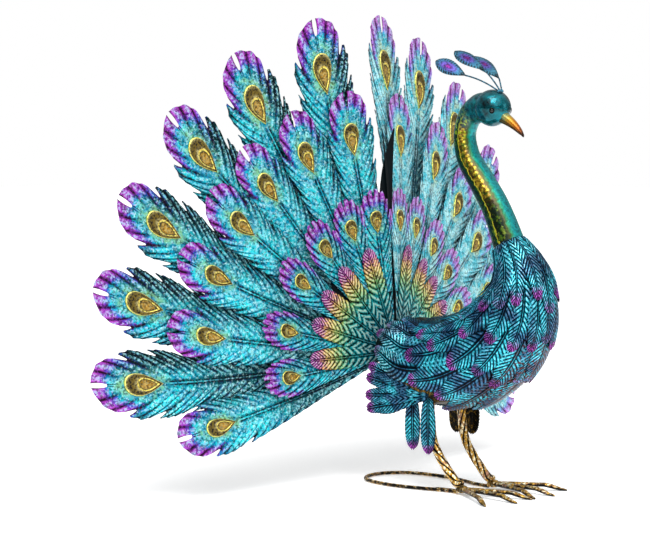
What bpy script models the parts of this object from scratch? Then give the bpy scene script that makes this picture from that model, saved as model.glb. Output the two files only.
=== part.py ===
"""Painted sheet steel garden peacock with its tail fan open.

Metres, +Z up. The bird looks along -Y and its right side is on -X. Sizes are
given as (side, ahead, up) from the point on the floor midway between its heels. The body
carries the other pieces, and stands where the figure's base is centred on the
origin.
"""

from math import cos, hypot, pi, radians, sin

import bmesh
import bpy
from mathutils import Vector

FIGURE = "peacock"
RIGHT, LEFT = -1, 1
SIDE_NAMES = {RIGHT: "right", LEFT: "left"}
SHARP_ANGLE = 35.0

# Placing and common thicknesses
BASE_CENTRE_AHEAD = -0.0613
GAP = 0.0003
SHEET = 0.0008
TAIL_SHEET = 0.0008

# Body shell: stations from the rump to the neck base, as
# (ahead, up, half height in the side view, half width)
BODY_STATIONS = (
    (-0.1060, 0.1505, 0.0262, 0.0425),
    (-0.0880, 0.1440, 0.0365, 0.0500),
    (-0.0600, 0.1310, 0.0440, 0.0520),
    (-0.0150, 0.1350, 0.0460, 0.0520),
    (0.0260, 0.1560, 0.0440, 0.0480),
    (0.0500, 0.1860, 0.0390, 0.0400),
    (0.0580, 0.2150, 0.0290, 0.0320),
    (0.0530, 0.2380, 0.0220, 0.0230),
    (0.0403, 0.2590, 0.0155, 0.0155),
)
BODY_LAST = len(BODY_STATIONS) - 1
BODY_SQUARENESS = 2.3
BODY_SIDES = 14
BODY_RINGS = 11
BODY_INSET = 0.0017

# Overlapping body feathers, in rows from the neck to the rump: name, feather
# length in stations, segments along a feather, first and last place round the
# side (0 at the back, 1 at the keel), and each feather's (place, station of tip)
FEATHER_ROWS = (
    ("collar", 2.9, 3, 0.04, 0.98, ((0.16, 5.0), (0.40, 5.1), (0.63, 5.6), (0.87, 5.8))),
    ("breast", 2.0, 3, 0.08, 0.985, ((0.24, 3.6), (0.42, 4.0), (0.58, 4.5), (0.75, 4.6), (0.92, 4.7))),
    ("flank", 1.8, 3, 0.06, 0.985, ((0.20, 2.8), (0.37, 2.9), (0.53, 3.4), (0.67, 3.8), (0.84, 3.8))),
    ("belly", 1.7, 3, 0.05, 0.98, ((0.20, 2.2), (0.41, 2.2), (0.56, 2.4), (0.71, 3.1), (0.87, 2.9))),
    ("rump", 2.3, 4, 0.03, 0.60, ((0.10, 0.9), (0.22, 0.4), (0.36, 0.2), (0.51, 0.5))),
)
ROW_ROOT_LIFT = -0.0004
ROW_MIDDLE_LIFT = 0.0016
ROW_TIP_LIFT = 0.0040
ROW_CROWN = 0.0012
ROW_NOTCH_SHARE = 0.30
ROW_SHOULDER_SHARE = 0.07

# Wing tips: feathers that fan out under the rump, from one root on each side
WING_TIP_ROOT = (0.0400, -0.0300, 0.1010)
WING_TIP_LENGTH = 0.0860
WING_TIP_FAN = (162.5, 171.0, 184.0, 193.5)
WING_TIP_HALF_ANGLE = 5.0
WING_TIP_NOTCH = 0.80
WING_TIP_OUTWARD = 0.055
WING_TIP_STEPS = (0.02, 0.60, 1.0)

# Thigh feathers, two a side: hanging plates, (ahead, length right, length left)
THIGH_SIDE = 0.0350
THIGH_TOP = 0.1000
THIGH_PLATES = ((-0.0590, 0.0590, 0.0480), (-0.0375, 0.0620, 0.0480))
THIGH_HALF_WIDTH = 0.0105
THIGH_SHEET = 0.0010

# Neck: (ahead, up, radius) from the body to the head
NECK_STATIONS = (
    (0.0403, 0.2594, 0.0165),
    (0.0300, 0.2820, 0.0152),
    (0.0185, 0.3020, 0.0144),
    (0.0020, 0.3240, 0.0136),
    (-0.0125, 0.3430, 0.0127),
    (-0.0185, 0.3600, 0.0118),
    (-0.0185, 0.3740, 0.0115),
    (-0.0125, 0.3885, 0.0122),
)
NECK_END_TURN = 2.0
NECK_END_RADIUS = 0.0150
NECK_SIDES = 10

# Head, beak, eyes and crest
HEAD_CENTRE = (0.0178, 0.3970)
HEAD_RADIUS = 0.0188
HEAD_SEGMENTS = 12
HEAD_RINGS = 9
BEAK_TIP = (0.0590, 0.3685)
BEAK_BASE_RADIUS = 0.0066
BEAK_BEND = 0.0014
BEAK_STEPS = ((0.0, 1.0), (0.25, 0.86), (0.5, 0.64), (0.75, 0.38), (0.93, 0.16), (1.0, 0.05))
BEAK_SIDES = 8
EYE_RADIUS = 0.0030
EYE_TURN = 53.0
EYE_DROP = 8.0
EYE_STEPS = ((-0.0030, 1.0), (0.0004, 0.9), (0.0011, 0.5))
CREST_KNOT = (0.0277, 0.4140)
CREST_ROOT_STEP = 0.0024
CREST_SIDE_DROP = 0.0004
CREST_WIRE_RADIUS = 0.0009
CREST_LEAF_HALF_WIDTH = 0.0085
CREST_LEAF_THICKNESS = 0.0009
CREST_SIDES = 5
# name, root place, (side, ahead, up) of the leaf's base and of its tip, and
# the direction that the leaf's flat side faces
CREST_FEATHERS = (
    (
        "crest_right", -1, (-0.0100, -0.0099, 0.4300), (-0.0220, -0.0402, 0.4448),
        (-0.70, 0.55, 0.45),
    ),
    (
        "crest_middle", 0, (0.0000, 0.0066, 0.4353), (0.0000, -0.0333, 0.4550),
        (-0.50, 0.40, 0.75),
    ),
    (
        "crest_left", 1, (0.0080, 0.0194, 0.4270), (0.0220, -0.0255, 0.4497),
        (-0.40, 0.30, 0.87),
    ),
)
CREST_LEAF_STEPS = ((0.0, 0.15), (0.25, 0.62), (0.55, 1.0), (0.82, 0.80), (1.0, 0.18))

# Legs, feet and the wire loop that they stand on
LEG_SIDE = 0.0250
LEG_ROUTE = ((-0.0440, 0.0960), (-0.0385, 0.0500), (-0.0110, 0.0150), (-0.0010, 0.0095))
LEG_RADIUS = 0.0043
LEG_TWIST = 130.0
LEG_SIDES = 8
HEEL_RADIUS = 0.0066
HEEL_LOW = 0.0022
HEEL_HIGH = 0.0092
TOE_LENGTH = 0.0777
TOE_ANGLES = (32.0, 4.0, -17.0)
TOE_START = 0.0012
TOE_STAGGER = 0.00035
# share of the toe's length, underside height, half width, thickness
TOE_STEPS = (
    (0.0, 0.0030, 0.0032, 0.0050),
    (0.70, 0.0034, 0.0031, 0.0043),
    (0.90, 0.0000, 0.0024, 0.0034),
    (1.0, 0.0000, 0.0010, 0.0016),
)
LOOP_HALF_WIRE = 0.0020
# (side, ahead) of the right half of the loop, from behind the heel to the middle
LOOP_ROUTE = (
    (0.0250, -0.0062),
    (0.0262, -0.0240),
    (0.0330, -0.0460),
    (0.0385, -0.0720),
    (0.0390, -0.0990),
    (0.0330, -0.1240),
    (0.0185, -0.1390),
    (0.0000, -0.1440),
)

# Tail fan: two halves swept back from a central line, in four layers
FAN_ROOT = (-0.1140, 0.1380)
FAN_LEAN = 7.5
FAN_SWEEP = 14.5
FAN_CURVE = 0.28
FAN_SPINE_ANGLE = 1.2
LAYER_STEP = 0.0014
LONG_ARCH = 0.0010
STAGGER = 0.0038
STAGGER_START = 0.070
STAGGER_END = 0.130
RISE_START = 0.035
FAN_RISE = {"plume": 0.0, "cover": 0.012, "small_eye": 0.069, "rosette": 0.088}
FAN_STACK = {"plume": 0, "cover": 1, "small_eye": 2, "rosette": 3}

# Plumes are the longest feathers and covers the next: angle from the central
# line for each feather, right half and left half
PLUME_LENGTH = 0.3612
PLUME_HALF_WIDTH = 0.0360
PLUME_ROOT = 0.0350
PLUME_ANGLES = {
    RIGHT: (16, 33, 49, 65.5, 81, 96),
    LEFT: (11.5, 26.5, 43, 60, 77, 94),
}
COVER_LENGTH = 0.2806
COVER_HALF_WIDTH = 0.0300
COVER_ROOT = 0.0300
COVER_ANGLES = {
    RIGHT: (12, 27.5, 41.5, 54.5, 69.5, 85, 108),
    LEFT: (15.5, 34.5, 52, 65.5, 80.5, 95, 109),
}
STEM_HALF_WIDTH = 0.0027
# share of the length and of the half width, with a notch after each barb group
BARB_STEPS = (
    (0.45, 0.44),
    (0.70, 0.86),
    (0.735, 0.74),
    (0.83, 1.0),
    (0.86, 0.86),
    (0.94, 0.76),
)
# share of the length and of the last width, from the slit out to the edge
TIP_LOBE = ((1.0, 0.14), (0.985, 0.55), (0.965, 0.86))

# Pressed sheets of small feathers, one a half: angle of each feather
SMALL_EYE_LENGTH = 0.1735
SMALL_EYE_ANGLES = {
    RIGHT: (9, 22.5, 38, 57, 79, 98.5),
    LEFT: (9, 24, 42, 58.5, 76, 96),
}
SMALL_EYE_HALF_ANGLE = 5.2
SMALL_EYE_NOTCH = 0.60
ROSETTE_LENGTH = 0.1160
ROSETTE_ANGLES = {
    RIGHT: (18, 38, 55.5, 72.5, 92),
    LEFT: (17, 36.5, 52, 69, 88),
}
ROSETTE_HALF_ANGLE = 5.0
ROSETTE_NOTCH = 0.50
LOBE_SHOULDER = 0.90
SHEET_ROOT = 0.0090
SHEET_END_ANGLE = 9.0
ROOT_PLATE_STEP = 0.0013
ROOT_PLATE_RADIUS = 0.0700
ROOT_PLATE_ANGLE = 114.0
ROOT_PLATE_COLUMNS = 4

# name: (colour, roughness, metallic)
FINISHES = {
    "body_teal": ((0.01, 0.16, 0.24), 0.35, 0.6),
    "feather_teal": ((0.02, 0.30, 0.38), 0.35, 0.6),
    "neck_green": ((0.03, 0.25, 0.16), 0.25, 0.7),
    "head_teal": ((0.01, 0.32, 0.33), 0.25, 0.8),
    "beak_gold": ((0.60, 0.38, 0.05), 0.35, 0.7),
    "crest_blue": ((0.12, 0.24, 0.36), 0.40, 0.5),
    "leg_gold": ((0.25, 0.18, 0.05), 0.45, 0.7),
    "tail_turquoise": ((0.04, 0.42, 0.50), 0.40, 0.4),
    "tail_pale": ((0.20, 0.50, 0.50), 0.40, 0.4),
    "back_black": ((0.02, 0.03, 0.04), 0.50, 0.4),
}


def at(side, ahead, up):
    return Vector((side, -ahead, up))


def unit2(a, b):
    length = hypot(a, b)
    return a / length, b / length


def curve_value(stations, t):
    """Smooth value through the stations, at station number t."""
    last = len(stations) - 1
    i = min(int(t), last - 1)
    f = t - i
    before = stations[max(i - 1, 0)]
    start = stations[i]
    end = stations[i + 1]
    after = stations[min(i + 2, last)]
    return [
        0.5
        * (
            2 * p1
            + (p2 - p0) * f
            + (2 * p0 - 5 * p1 + 4 * p2 - p3) * f * f
            + (3 * p1 - p0 - 3 * p2 + p3) * f**3
        )
        for p0, p1, p2, p3 in zip(before, start, end, after)
    ]


def curve_direction(stations, t):
    step = 0.02
    low = curve_value(stations, max(t - step, 0.0))
    high = curve_value(stations, min(t + step, len(stations) - 1.0))
    return unit2(high[0] - low[0], high[1] - low[1])


def body_point(t, v, side, lift=0.0):
    """Point on the body at station t; v runs from the back, 0, to the keel, 1."""
    ahead, up, height, width = curve_value(BODY_STATIONS, t)
    along = curve_direction(BODY_STATIONS, t)
    keelward = (along[1], -along[0])
    c = -cos(pi * v)
    s = abs(sin(pi * v))
    power = 2 / BODY_SQUARENESS
    a = (abs(c) ** power) * (1 if c > 0 else -1)
    b = s**power
    slope_a = abs(a) ** (BODY_SQUARENESS - 1) / height * (1 if a > 0 else -1)
    slope_b = b ** (BODY_SQUARENESS - 1) / width
    slope_a, slope_b = unit2(slope_a, slope_b)
    down = height * a + lift * slope_a
    out = width * b + lift * slope_b
    return at(side * out, ahead + keelward[0] * down, up + keelward[1] * down)


def fan_point(side, angle, reach, lift=0.0, across=0.0):
    """Point on one half of the fan, by angle from its central line and reach."""
    lean = radians(FAN_LEAN)
    sweep = radians(FAN_SWEEP)
    upward = Vector((0, sin(lean), cos(lean)))
    backward = Vector((0, cos(lean), -sin(lean)))
    outward = Vector((side * cos(sweep), 0, 0)) + backward * sin(sweep)
    front = Vector((side * sin(sweep), 0, 0)) - backward * cos(sweep)
    if angle == 0:
        front = -backward
    a = radians(angle)
    along = upward * cos(a) + outward * sin(a)
    turn = outward * cos(a) - upward * sin(a)
    aside = across - FAN_CURVE * reach * reach
    return at(0, *FAN_ROOT) + along * reach + turn * aside + front * lift


def fan_lift(layer, reach, staggered=False):
    """How far a layer stands in front of the fan's rear surface."""
    lift = FAN_STACK[layer] * LAYER_STEP + FAN_RISE[layer] * max(reach - RISE_START, 0.0)
    if staggered:
        f = (reach - STAGGER_START) / (STAGGER_END - STAGGER_START)
        f = min(max(f, 0.0), 1.0)
        lift += STAGGER * f * f * (3 - 2 * f)
    return lift


def finish(name):
    material = bpy.data.materials.get(name)
    if material:
        return material
    colour, roughness, metallic = FINISHES[name]
    material = bpy.data.materials.new(name)
    material.use_nodes = True
    shader = material.node_tree.nodes["Principled BSDF"]
    shader.inputs["Base Color"].default_value = (*colour, 1)
    shader.inputs["Roughness"].default_value = roughness
    shader.inputs["Metallic"].default_value = metallic
    material.diffuse_color = (*colour, 1)
    return material


def add_object(name, bm, finish_name, parent):
    bmesh.ops.recalc_face_normals(bm, faces=bm.faces)
    bmesh.ops.triangulate(bm, faces=bm.faces)
    mesh = bpy.data.meshes.new(name)
    bm.to_mesh(mesh)
    bm.free()
    mesh.shade_smooth()
    mesh.set_sharp_from_angle(angle=radians(SHARP_ANGLE))
    obj = bpy.data.objects.new(name, mesh)
    bpy.data.collections[FIGURE].objects.link(obj)
    obj.data.materials.append(finish(finish_name))
    obj.parent = parent
    return obj


def loft(bm, rings):
    """Closed solid through rings that all have the same number of points."""
    rows = [[bm.verts.new(point) for point in ring] for ring in rings]
    count = len(rows[0])
    for low, high in zip(rows, rows[1:]):
        for i in range(count):
            j = (i + 1) % count
            bm.faces.new((low[i], low[j], high[j], high[i]))
    bm.faces.new(list(reversed(rows[0])))
    bm.faces.new(rows[-1])


def grid(bm, rows):
    """Open sheet through rows of points."""
    verts = [[bm.verts.new(point) for point in row] for row in rows]
    for low, high in zip(verts, verts[1:]):
        for i in range(len(low) - 1):
            bm.faces.new((low[i], low[i + 1], high[i + 1], high[i]))


def add_sheet(name, rows, thickness, finish_name, parent):
    """Sheet metal through rows of points, half its thickness on each side."""
    bm = bmesh.new()
    grid(bm, rows)
    obj = add_object(name, bm, finish_name, parent)
    solidify = obj.modifiers.new("sheet thickness", "SOLIDIFY")
    solidify.thickness = thickness
    solidify.offset = 0
    return obj


def ring_in_plane(centre, first, second, half_a, half_b, sides, turn=0.0):
    """Elliptical ring round centre, in the plane of two unit directions."""
    points = []
    for i in range(sides):
        angle = 2 * pi * i / sides + turn
        points.append(centre + first * (half_a * cos(angle)) + second * (half_b * sin(angle)))
    return points


def join_solids(target, extras):
    """Union of extra solids into the target, which are then removed."""
    for extra in extras:
        boolean = target.modifiers.new("join", "BOOLEAN")
        boolean.operation = "UNION"
        boolean.solver = "EXACT"
        boolean.object = extra
    bpy.context.view_layer.update()
    evaluated = target.evaluated_get(bpy.context.evaluated_depsgraph_get())
    joined = bpy.data.meshes.new_from_object(evaluated)
    target.modifiers.clear()
    target.data = joined
    for extra in extras:
        bpy.data.objects.remove(extra, do_unlink=True)


def body_rings(lift):
    """Rings of the body shell, moved out from its outer form by lift."""
    half = BODY_SIDES // 2
    rings = []
    for i in range(BODY_RINGS):
        t = BODY_LAST * i / (BODY_RINGS - 1)
        right = [body_point(t, j / half, RIGHT, lift) for j in range(half + 1)]
        left = [body_point(t, j / half, LEFT, lift) for j in range(half - 1, 0, -1)]
        rings.append(right + left)
    return rings


def add_body():
    """Body shell, which carries every other piece and so places the figure."""
    bm = bmesh.new()
    loft(bm, body_rings(-BODY_INSET))
    body = add_object("body", bm, "body_teal", None)
    body.location = at(0, -BASE_CENTRE_AHEAD, 0)
    return body


def feather_row_columns(feathers, length, first_v, last_v):
    """Columns (v, root station, end station, crown) of one scalloped row."""
    places = [v for v, tip in feathers]
    bounds = [first_v] + [(a + b) / 2 for a, b in zip(places, places[1:])] + [last_v]
    columns = []
    for i, (v, tip) in enumerate(feathers):
        low, high = bounds[i], bounds[i + 1]
        neighbour = feathers[i - 1][1] if i else tip
        valley_tip = (tip + neighbour) / 2
        columns.append((low, valley_tip, ROW_NOTCH_SHARE, 0.0))
        columns.append(((low + v) / 2, tip, ROW_SHOULDER_SHARE, 0.7))
        columns.append((v, tip, 0.0, 1.0))
        columns.append(((v + high) / 2, tip, ROW_SHOULDER_SHARE, 0.7))
    columns.append((last_v, feathers[-1][1], ROW_NOTCH_SHARE, 0.0))
    result = []
    for v, tip, share, crown in columns:
        root = min(tip + length, BODY_LAST - 0.02)
        result.append((v, root, tip + share * (root - tip), crown))
    return result


def feather_lift(step):
    """Height of a body feather over the body's form, from its root to its tip."""
    start = ROW_ROOT_LIFT * (1 - step) * (1 - 2 * step)
    middle = ROW_MIDDLE_LIFT * 4 * step * (1 - step)
    end = ROW_TIP_LIFT * step * (2 * step - 1)
    return start + middle + end


def add_feather_rows(parent):
    for side in (RIGHT, LEFT):
        for name, length, segments, first_v, last_v, feathers in FEATHER_ROWS:
            columns = feather_row_columns(feathers, length, first_v, last_v)
            rows = []
            for i in range(segments + 1):
                step = i / segments
                lift = feather_lift(step)
                row = []
                for v, root, end, crown in columns:
                    t = root + (end - root) * step
                    crest = ROW_CROWN * crown * step * (1.6 - step)
                    row.append(body_point(t, v, side, lift + crest))
                rows.append(row)
            node = f"{name}_feathers_{SIDE_NAMES[side]}"
            add_sheet(node, rows, SHEET, "feather_teal", parent)


def lobe_columns(angles, half_angle, notch, first, last):
    """Columns (angle, share of the length) of a sheet cut into round lobes."""
    bounds = [first] + [(a + b) / 2 for a, b in zip(angles, angles[1:])] + [last]
    columns = []
    for angle, low in zip(angles, bounds):
        columns.append((low, notch))
        columns.append((max(angle - half_angle, (low + angle) / 2), LOBE_SHOULDER))
        columns.append((angle, 1.0))
        columns.append((angle + half_angle, LOBE_SHOULDER))
    columns.append((last, notch))
    return columns


def add_wing_tips(parent):
    for side in (RIGHT, LEFT):
        first = WING_TIP_FAN[0] - WING_TIP_HALF_ANGLE
        last = WING_TIP_FAN[-1] + WING_TIP_HALF_ANGLE
        half = WING_TIP_HALF_ANGLE / 2
        columns = lobe_columns(WING_TIP_FAN, half, WING_TIP_NOTCH, first, last)
        rows = []
        for step in WING_TIP_STEPS:
            row = []
            for angle, share in columns:
                reach = WING_TIP_LENGTH * step * share
                a = radians(angle)
                out, ahead, up = WING_TIP_ROOT
                out += WING_TIP_OUTWARD * reach
                row.append(at(side * out, ahead + cos(a) * reach, up + sin(a) * reach))
            rows.append(row)
        plate = add_sheet(f"wing_tip_{SIDE_NAMES[side]}", rows, SHEET, "feather_teal", parent)
        cut_clear_of_body(plate, parent)


def add_thigh_feathers(parent):
    for side in (RIGHT, LEFT):
        for number, (ahead, right_length, left_length) in enumerate(THIGH_PLATES, 1):
            length = right_length if side == RIGHT else left_length
            rows = []
            for share, width in ((0.0, 0.62), (0.25, 0.85), (0.60, 1.0), (0.88, 0.80), (1.0, 0.30)):
                up = THIGH_TOP - length * share
                half = THIGH_HALF_WIDTH * width
                row = [at(side * THIGH_SIDE, ahead + half * x, up) for x in (-1, 0, 1)]
                row[1] += at(side * 0.0012 * width, 0, 0)
                rows.append(row)
            node = f"thigh_feather_{SIDE_NAMES[side]}_{number}"
            plate = add_sheet(node, rows, THIGH_SHEET, "feather_teal", parent)
            cut_clear_of_body(plate, parent)


def head_seats():
    """Head centre, and the directions of the neck and the beak from it."""
    centre = at(0, *HEAD_CENTRE)
    turn = radians(NECK_END_TURN)
    to_neck = at(0, -cos(turn), -sin(turn))
    to_beak = (at(0, *BEAK_TIP) - centre).normalized()
    return centre, to_neck, to_beak


def neck_stations():
    """Neck stations with the last one on the head's flat."""
    reach = (HEAD_RADIUS**2 - NECK_END_RADIUS**2) ** 0.5 + GAP
    centre, to_neck, to_beak = head_seats()
    end = centre + to_neck * reach
    return list(NECK_STATIONS) + [(-end.y, end.z, NECK_END_RADIUS)]


def add_neck(parent):
    rings = []
    side_axis = Vector((1, 0, 0))
    stations = neck_stations()
    for i, (ahead, up, radius) in enumerate(stations):
        along = curve_direction(stations, float(i))
        if i == 0:
            along = curve_direction(BODY_STATIONS, float(BODY_LAST))
        if i == len(stations) - 1:
            along = unit2(HEAD_CENTRE[0] - ahead, HEAD_CENTRE[1] - up)
        second = at(0, along[1], -along[0])
        rings.append(ring_in_plane(at(0, ahead, up), side_axis, second, radius, radius, NECK_SIDES))
    bm = bmesh.new()
    loft(bm, rings)
    return add_object("neck", bm, "neck_green", parent)


def flatten_ball(bm, centre, direction, flat_radius, ball_radius):
    """Cut a flat on a ball, facing the given direction."""
    depth = (ball_radius**2 - flat_radius**2) ** 0.5
    geometry = bm.verts[:] + bm.edges[:] + bm.faces[:]
    point = centre + direction * depth
    cut = bmesh.ops.bisect_plane(
        bm, geom=geometry, plane_co=point, plane_no=direction, clear_outer=True
    )
    edges = [item for item in cut["geom_cut"] if isinstance(item, bmesh.types.BMEdge)]
    bmesh.ops.holes_fill(bm, edges=edges)
    return point


def add_head(parent):
    centre, to_neck, to_beak = head_seats()
    bm = bmesh.new()
    bmesh.ops.create_uvsphere(
        bm, u_segments=HEAD_SEGMENTS, v_segments=HEAD_RINGS, radius=HEAD_RADIUS
    )
    bmesh.ops.translate(bm, verts=bm.verts, vec=centre)
    flatten_ball(bm, centre, to_neck, NECK_END_RADIUS, HEAD_RADIUS)
    flatten_ball(bm, centre, to_beak, BEAK_BASE_RADIUS, HEAD_RADIUS)
    return add_object("head", bm, "head_teal", parent)


def add_beak(parent):
    centre, to_neck, to_beak = head_seats()
    base = centre + to_beak * ((HEAD_RADIUS**2 - BEAK_BASE_RADIUS**2) ** 0.5 + GAP)
    tip = at(0, *BEAK_TIP)
    side_axis = Vector((1, 0, 0))
    upward = to_beak.cross(side_axis).normalized()
    if upward.z < 0:
        upward = -upward
    rings = []
    for share, width in BEAK_STEPS:
        centre_line = base.lerp(tip, share) + upward * (BEAK_BEND * 4 * share * (1 - share))
        half = BEAK_BASE_RADIUS * width
        rings.append(ring_in_plane(centre_line, side_axis, upward, half * 0.85, half, BEAK_SIDES))
    bm = bmesh.new()
    loft(bm, rings)
    return add_object("beak", bm, "beak_gold", parent)


def add_eye_bosses(head, parent):
    """Low round boss on each side of the head, where the eye is painted."""
    centre = at(0, *HEAD_CENTRE)
    bosses = []
    for side in (RIGHT, LEFT):
        turn = radians(EYE_TURN)
        drop = radians(EYE_DROP)
        outward = at(side * sin(turn) * cos(drop), cos(turn) * cos(drop), -sin(drop))
        along = outward.cross(Vector((0, 0, 1))).normalized()
        upward = along.cross(outward).normalized()
        rings = []
        for rise, width in EYE_STEPS:
            distance = HEAD_RADIUS + rise
            half = EYE_RADIUS * width
            rings.append(ring_in_plane(centre + outward * distance, along, upward, half, half, 8))
        bm = bmesh.new()
        loft(bm, rings)
        bosses.append(add_object("eye_boss", bm, "head_teal", parent))
    join_solids(head, bosses)


def add_crest(parent):
    for name, place, leaf_base, leaf_tip, facing in CREST_FEATHERS:
        root = at(place * CREST_ROOT_STEP, *CREST_KNOT)
        root.z -= CREST_SIDE_DROP * abs(place)
        base = at(*leaf_base)
        tip = at(*leaf_tip)
        leaf_way = (tip - base).normalized()
        across = leaf_way.cross(at(*facing)).normalized()
        out_of_leaf = across.cross(leaf_way).normalized()
        rise = base.lerp(root, 0.5) + Vector((0, 0, 0.10)) * (root - base).length
        steps = []
        for share in (0.0, 0.45, 0.9):
            point = root.lerp(rise, share).lerp(rise.lerp(base, share), share)
            steps.append((point, CREST_WIRE_RADIUS, CREST_WIRE_RADIUS))
        for share, width in CREST_LEAF_STEPS:
            half = max(CREST_LEAF_HALF_WIDTH * width, CREST_WIRE_RADIUS)
            steps.append((base.lerp(tip, share), half, CREST_LEAF_THICKNESS))
        rings = []
        for point, half, thick in steps:
            rings.append(ring_in_plane(point, across, out_of_leaf, half, thick, CREST_SIDES))
        bm = bmesh.new()
        loft(bm, rings)
        add_object(name, bm, "crest_blue", parent)


def cut_clear_of_body(obj, parent):
    """Trim an object where it would enter the body, leaving the common gap."""
    bm = bmesh.new()
    loft(bm, body_rings(GAP - BODY_INSET))
    cutter = add_object("body_clearance", bm, "body_teal", parent)
    boolean = obj.modifiers.new("clear of body", "BOOLEAN")
    boolean.operation = "DIFFERENCE"
    boolean.solver = "EXACT"
    boolean.object = cutter
    bpy.context.view_layer.update()
    evaluated = obj.evaluated_get(bpy.context.evaluated_depsgraph_get())
    trimmed = bpy.data.meshes.new_from_object(evaluated)
    obj.modifiers.clear()
    obj.data = trimmed
    bpy.data.objects.remove(cutter, do_unlink=True)


def add_legs(parent):
    for side in (RIGHT, LEFT):
        rings = []
        last = len(LEG_ROUTE) - 1
        for i, (ahead, up) in enumerate(LEG_ROUTE):
            along = curve_direction(LEG_ROUTE, float(i))
            if i == last:
                along = (0.0, -1.0)
            second = at(0, along[1], -along[0])
            turn = radians(LEG_TWIST) * i * side
            centre = at(side * LEG_SIDE, ahead, up)
            side_axis = Vector((1, 0, 0))
            rings.append(
                ring_in_plane(centre, side_axis, second, LEG_RADIUS, LEG_RADIUS, LEG_SIDES, turn)
            )
        bm = bmesh.new()
        loft(bm, rings)
        leg = add_object(f"leg_{SIDE_NAMES[side]}", bm, "leg_gold", parent)
        cut_clear_of_body(leg, parent)


def toe_section(centre, along, up, half, thick):
    """Six-sided toe section with a flat underside at the given height."""
    aside = Vector((-along.y, along.x, 0))
    low = centre + Vector((0, 0, up))
    high = Vector((0, 0, thick))
    middle = Vector((0, 0, thick * 0.45))
    return [
        low + aside * (half * 0.6),
        low + aside * half + middle,
        low + aside * (half * 0.5) + high,
        low - aside * (half * 0.5) + high,
        low - aside * half + middle,
        low - aside * (half * 0.6),
    ]


def add_feet(parent):
    """Heel knob with three toes, joined into one solid for each foot."""
    for side in (RIGHT, LEFT):
        heel = at(side * LEG_SIDE, 0, 0)
        bm = bmesh.new()
        up = Vector((1, 0, 0)), Vector((0, 1, 0))
        low = heel + Vector((0, 0, HEEL_LOW))
        high = heel + Vector((0, 0, HEEL_HIGH))
        loft(
            bm,
            [
                ring_in_plane(low, *up, HEEL_RADIUS * 0.8, HEEL_RADIUS * 0.8, 10),
                ring_in_plane(low.lerp(high, 0.6), *up, HEEL_RADIUS, HEEL_RADIUS, 10),
                ring_in_plane(high, *up, HEEL_RADIUS * 0.7, HEEL_RADIUS * 0.7, 10),
            ],
        )
        foot = add_object(f"foot_{SIDE_NAMES[side]}", bm, "leg_gold", parent)
        toes = []
        for angle in TOE_ANGLES:
            a = radians(angle)
            along = at(side * sin(a), cos(a), 0)
            rings = []
            for share, under, half, thick in TOE_STEPS:
                reach = TOE_START + (TOE_LENGTH - TOE_START) * share
                raised = TOE_STAGGER * len(toes) * (1 - share) if under else 0.0
                section = toe_section(heel + along * reach, along, under + raised, half, thick)
                rings.append(section)
            toe_bm = bmesh.new()
            loft(toe_bm, rings)
            toes.append(add_object("toe", toe_bm, "leg_gold", parent))
        join_solids(foot, toes)


def add_stand_loop(parent):
    """Bent wire behind the feet, six-sided with a flat underside."""
    half = [at(-side, ahead, LOOP_HALF_WIRE) for side, ahead in LOOP_ROUTE]
    other = [Vector((-p.x, p.y, p.z)) for p in reversed(half[:-1])]
    route = half + other
    rings = []
    for i, point in enumerate(route):
        before = route[max(i - 1, 0)]
        after = route[min(i + 1, len(route) - 1)]
        along = (after - before).normalized()
        aside = along.cross(Vector((0, 0, 1))).normalized()
        reach = LOOP_HALF_WIRE / cos(pi / 6)
        rings.append(
            ring_in_plane(point, aside, Vector((0, 0, 1)), reach, reach, 6)
        )
    bm = bmesh.new()
    loft(bm, rings)
    return add_object("stand_loop", bm, "leg_gold", parent)


def add_tail_feather(name, side, angle, layer, staggered, parent):
    """One long feather: stem, barb groups with notches, and a slit tip."""
    if layer == "plume":
        length, half_width, root = PLUME_LENGTH, PLUME_HALF_WIDTH, PLUME_ROOT
    else:
        length, half_width, root = COVER_LENGTH, COVER_HALF_WIDTH, COVER_ROOT

    def place(share, across):
        reach = length * share
        lift = fan_lift(layer, reach, staggered) + LONG_ARCH * max(0.0, 1 - across * across)
        if share * length <= root:
            lift = fan_lift(layer, reach, staggered)
        return fan_point(side, angle, reach, lift, half_width * across)

    steps = [(root / length, STEM_HALF_WIDTH / half_width)] + list(BARB_STEPS)
    bm = bmesh.new()
    rows = []
    for share, width in steps:
        rows.append([bm.verts.new(place(share, width * x)) for x in (-1, 0, 1)])
    for low, high in zip(rows, rows[1:]):
        for i in (0, 1):
            bm.faces.new((low[i], low[i + 1], high[i + 1], high[i]))
    left, middle, right = rows[-1]
    width = steps[-1][1]
    left_tip = [bm.verts.new(place(share, -width * x)) for share, x in TIP_LOBE]
    right_tip = [bm.verts.new(place(share, width * x)) for share, x in TIP_LOBE]
    bm.faces.new([left, middle] + left_tip)
    bm.faces.new([middle, right] + list(reversed(right_tip)))
    colour = "tail_pale" if side == LEFT else "tail_turquoise"
    obj = add_object(name, bm, colour, parent)
    solidify = obj.modifiers.new("sheet thickness", "SOLIDIFY")
    solidify.thickness = TAIL_SHEET
    solidify.offset = 0
    return obj


def add_small_sheet(name, side, angles, length, half_angle, notch, layer, parent):
    """Pressed sheet that carries one ring of small feathers of one half."""
    end = angles[-1] + SHEET_END_ANGLE
    columns = lobe_columns(angles, half_angle, notch, FAN_SPINE_ANGLE, end)
    rows = []
    for edge in (SHEET_ROOT, RISE_START, None):
        row = []
        for angle, share in columns:
            reach = edge or length * share
            row.append(fan_point(side, angle, reach, fan_lift(layer, reach)))
        rows.append(row)
    pale = "tail_pale" if side == LEFT else "tail_turquoise"
    return add_sheet(name, rows, TAIL_SHEET, pale, parent)


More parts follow.
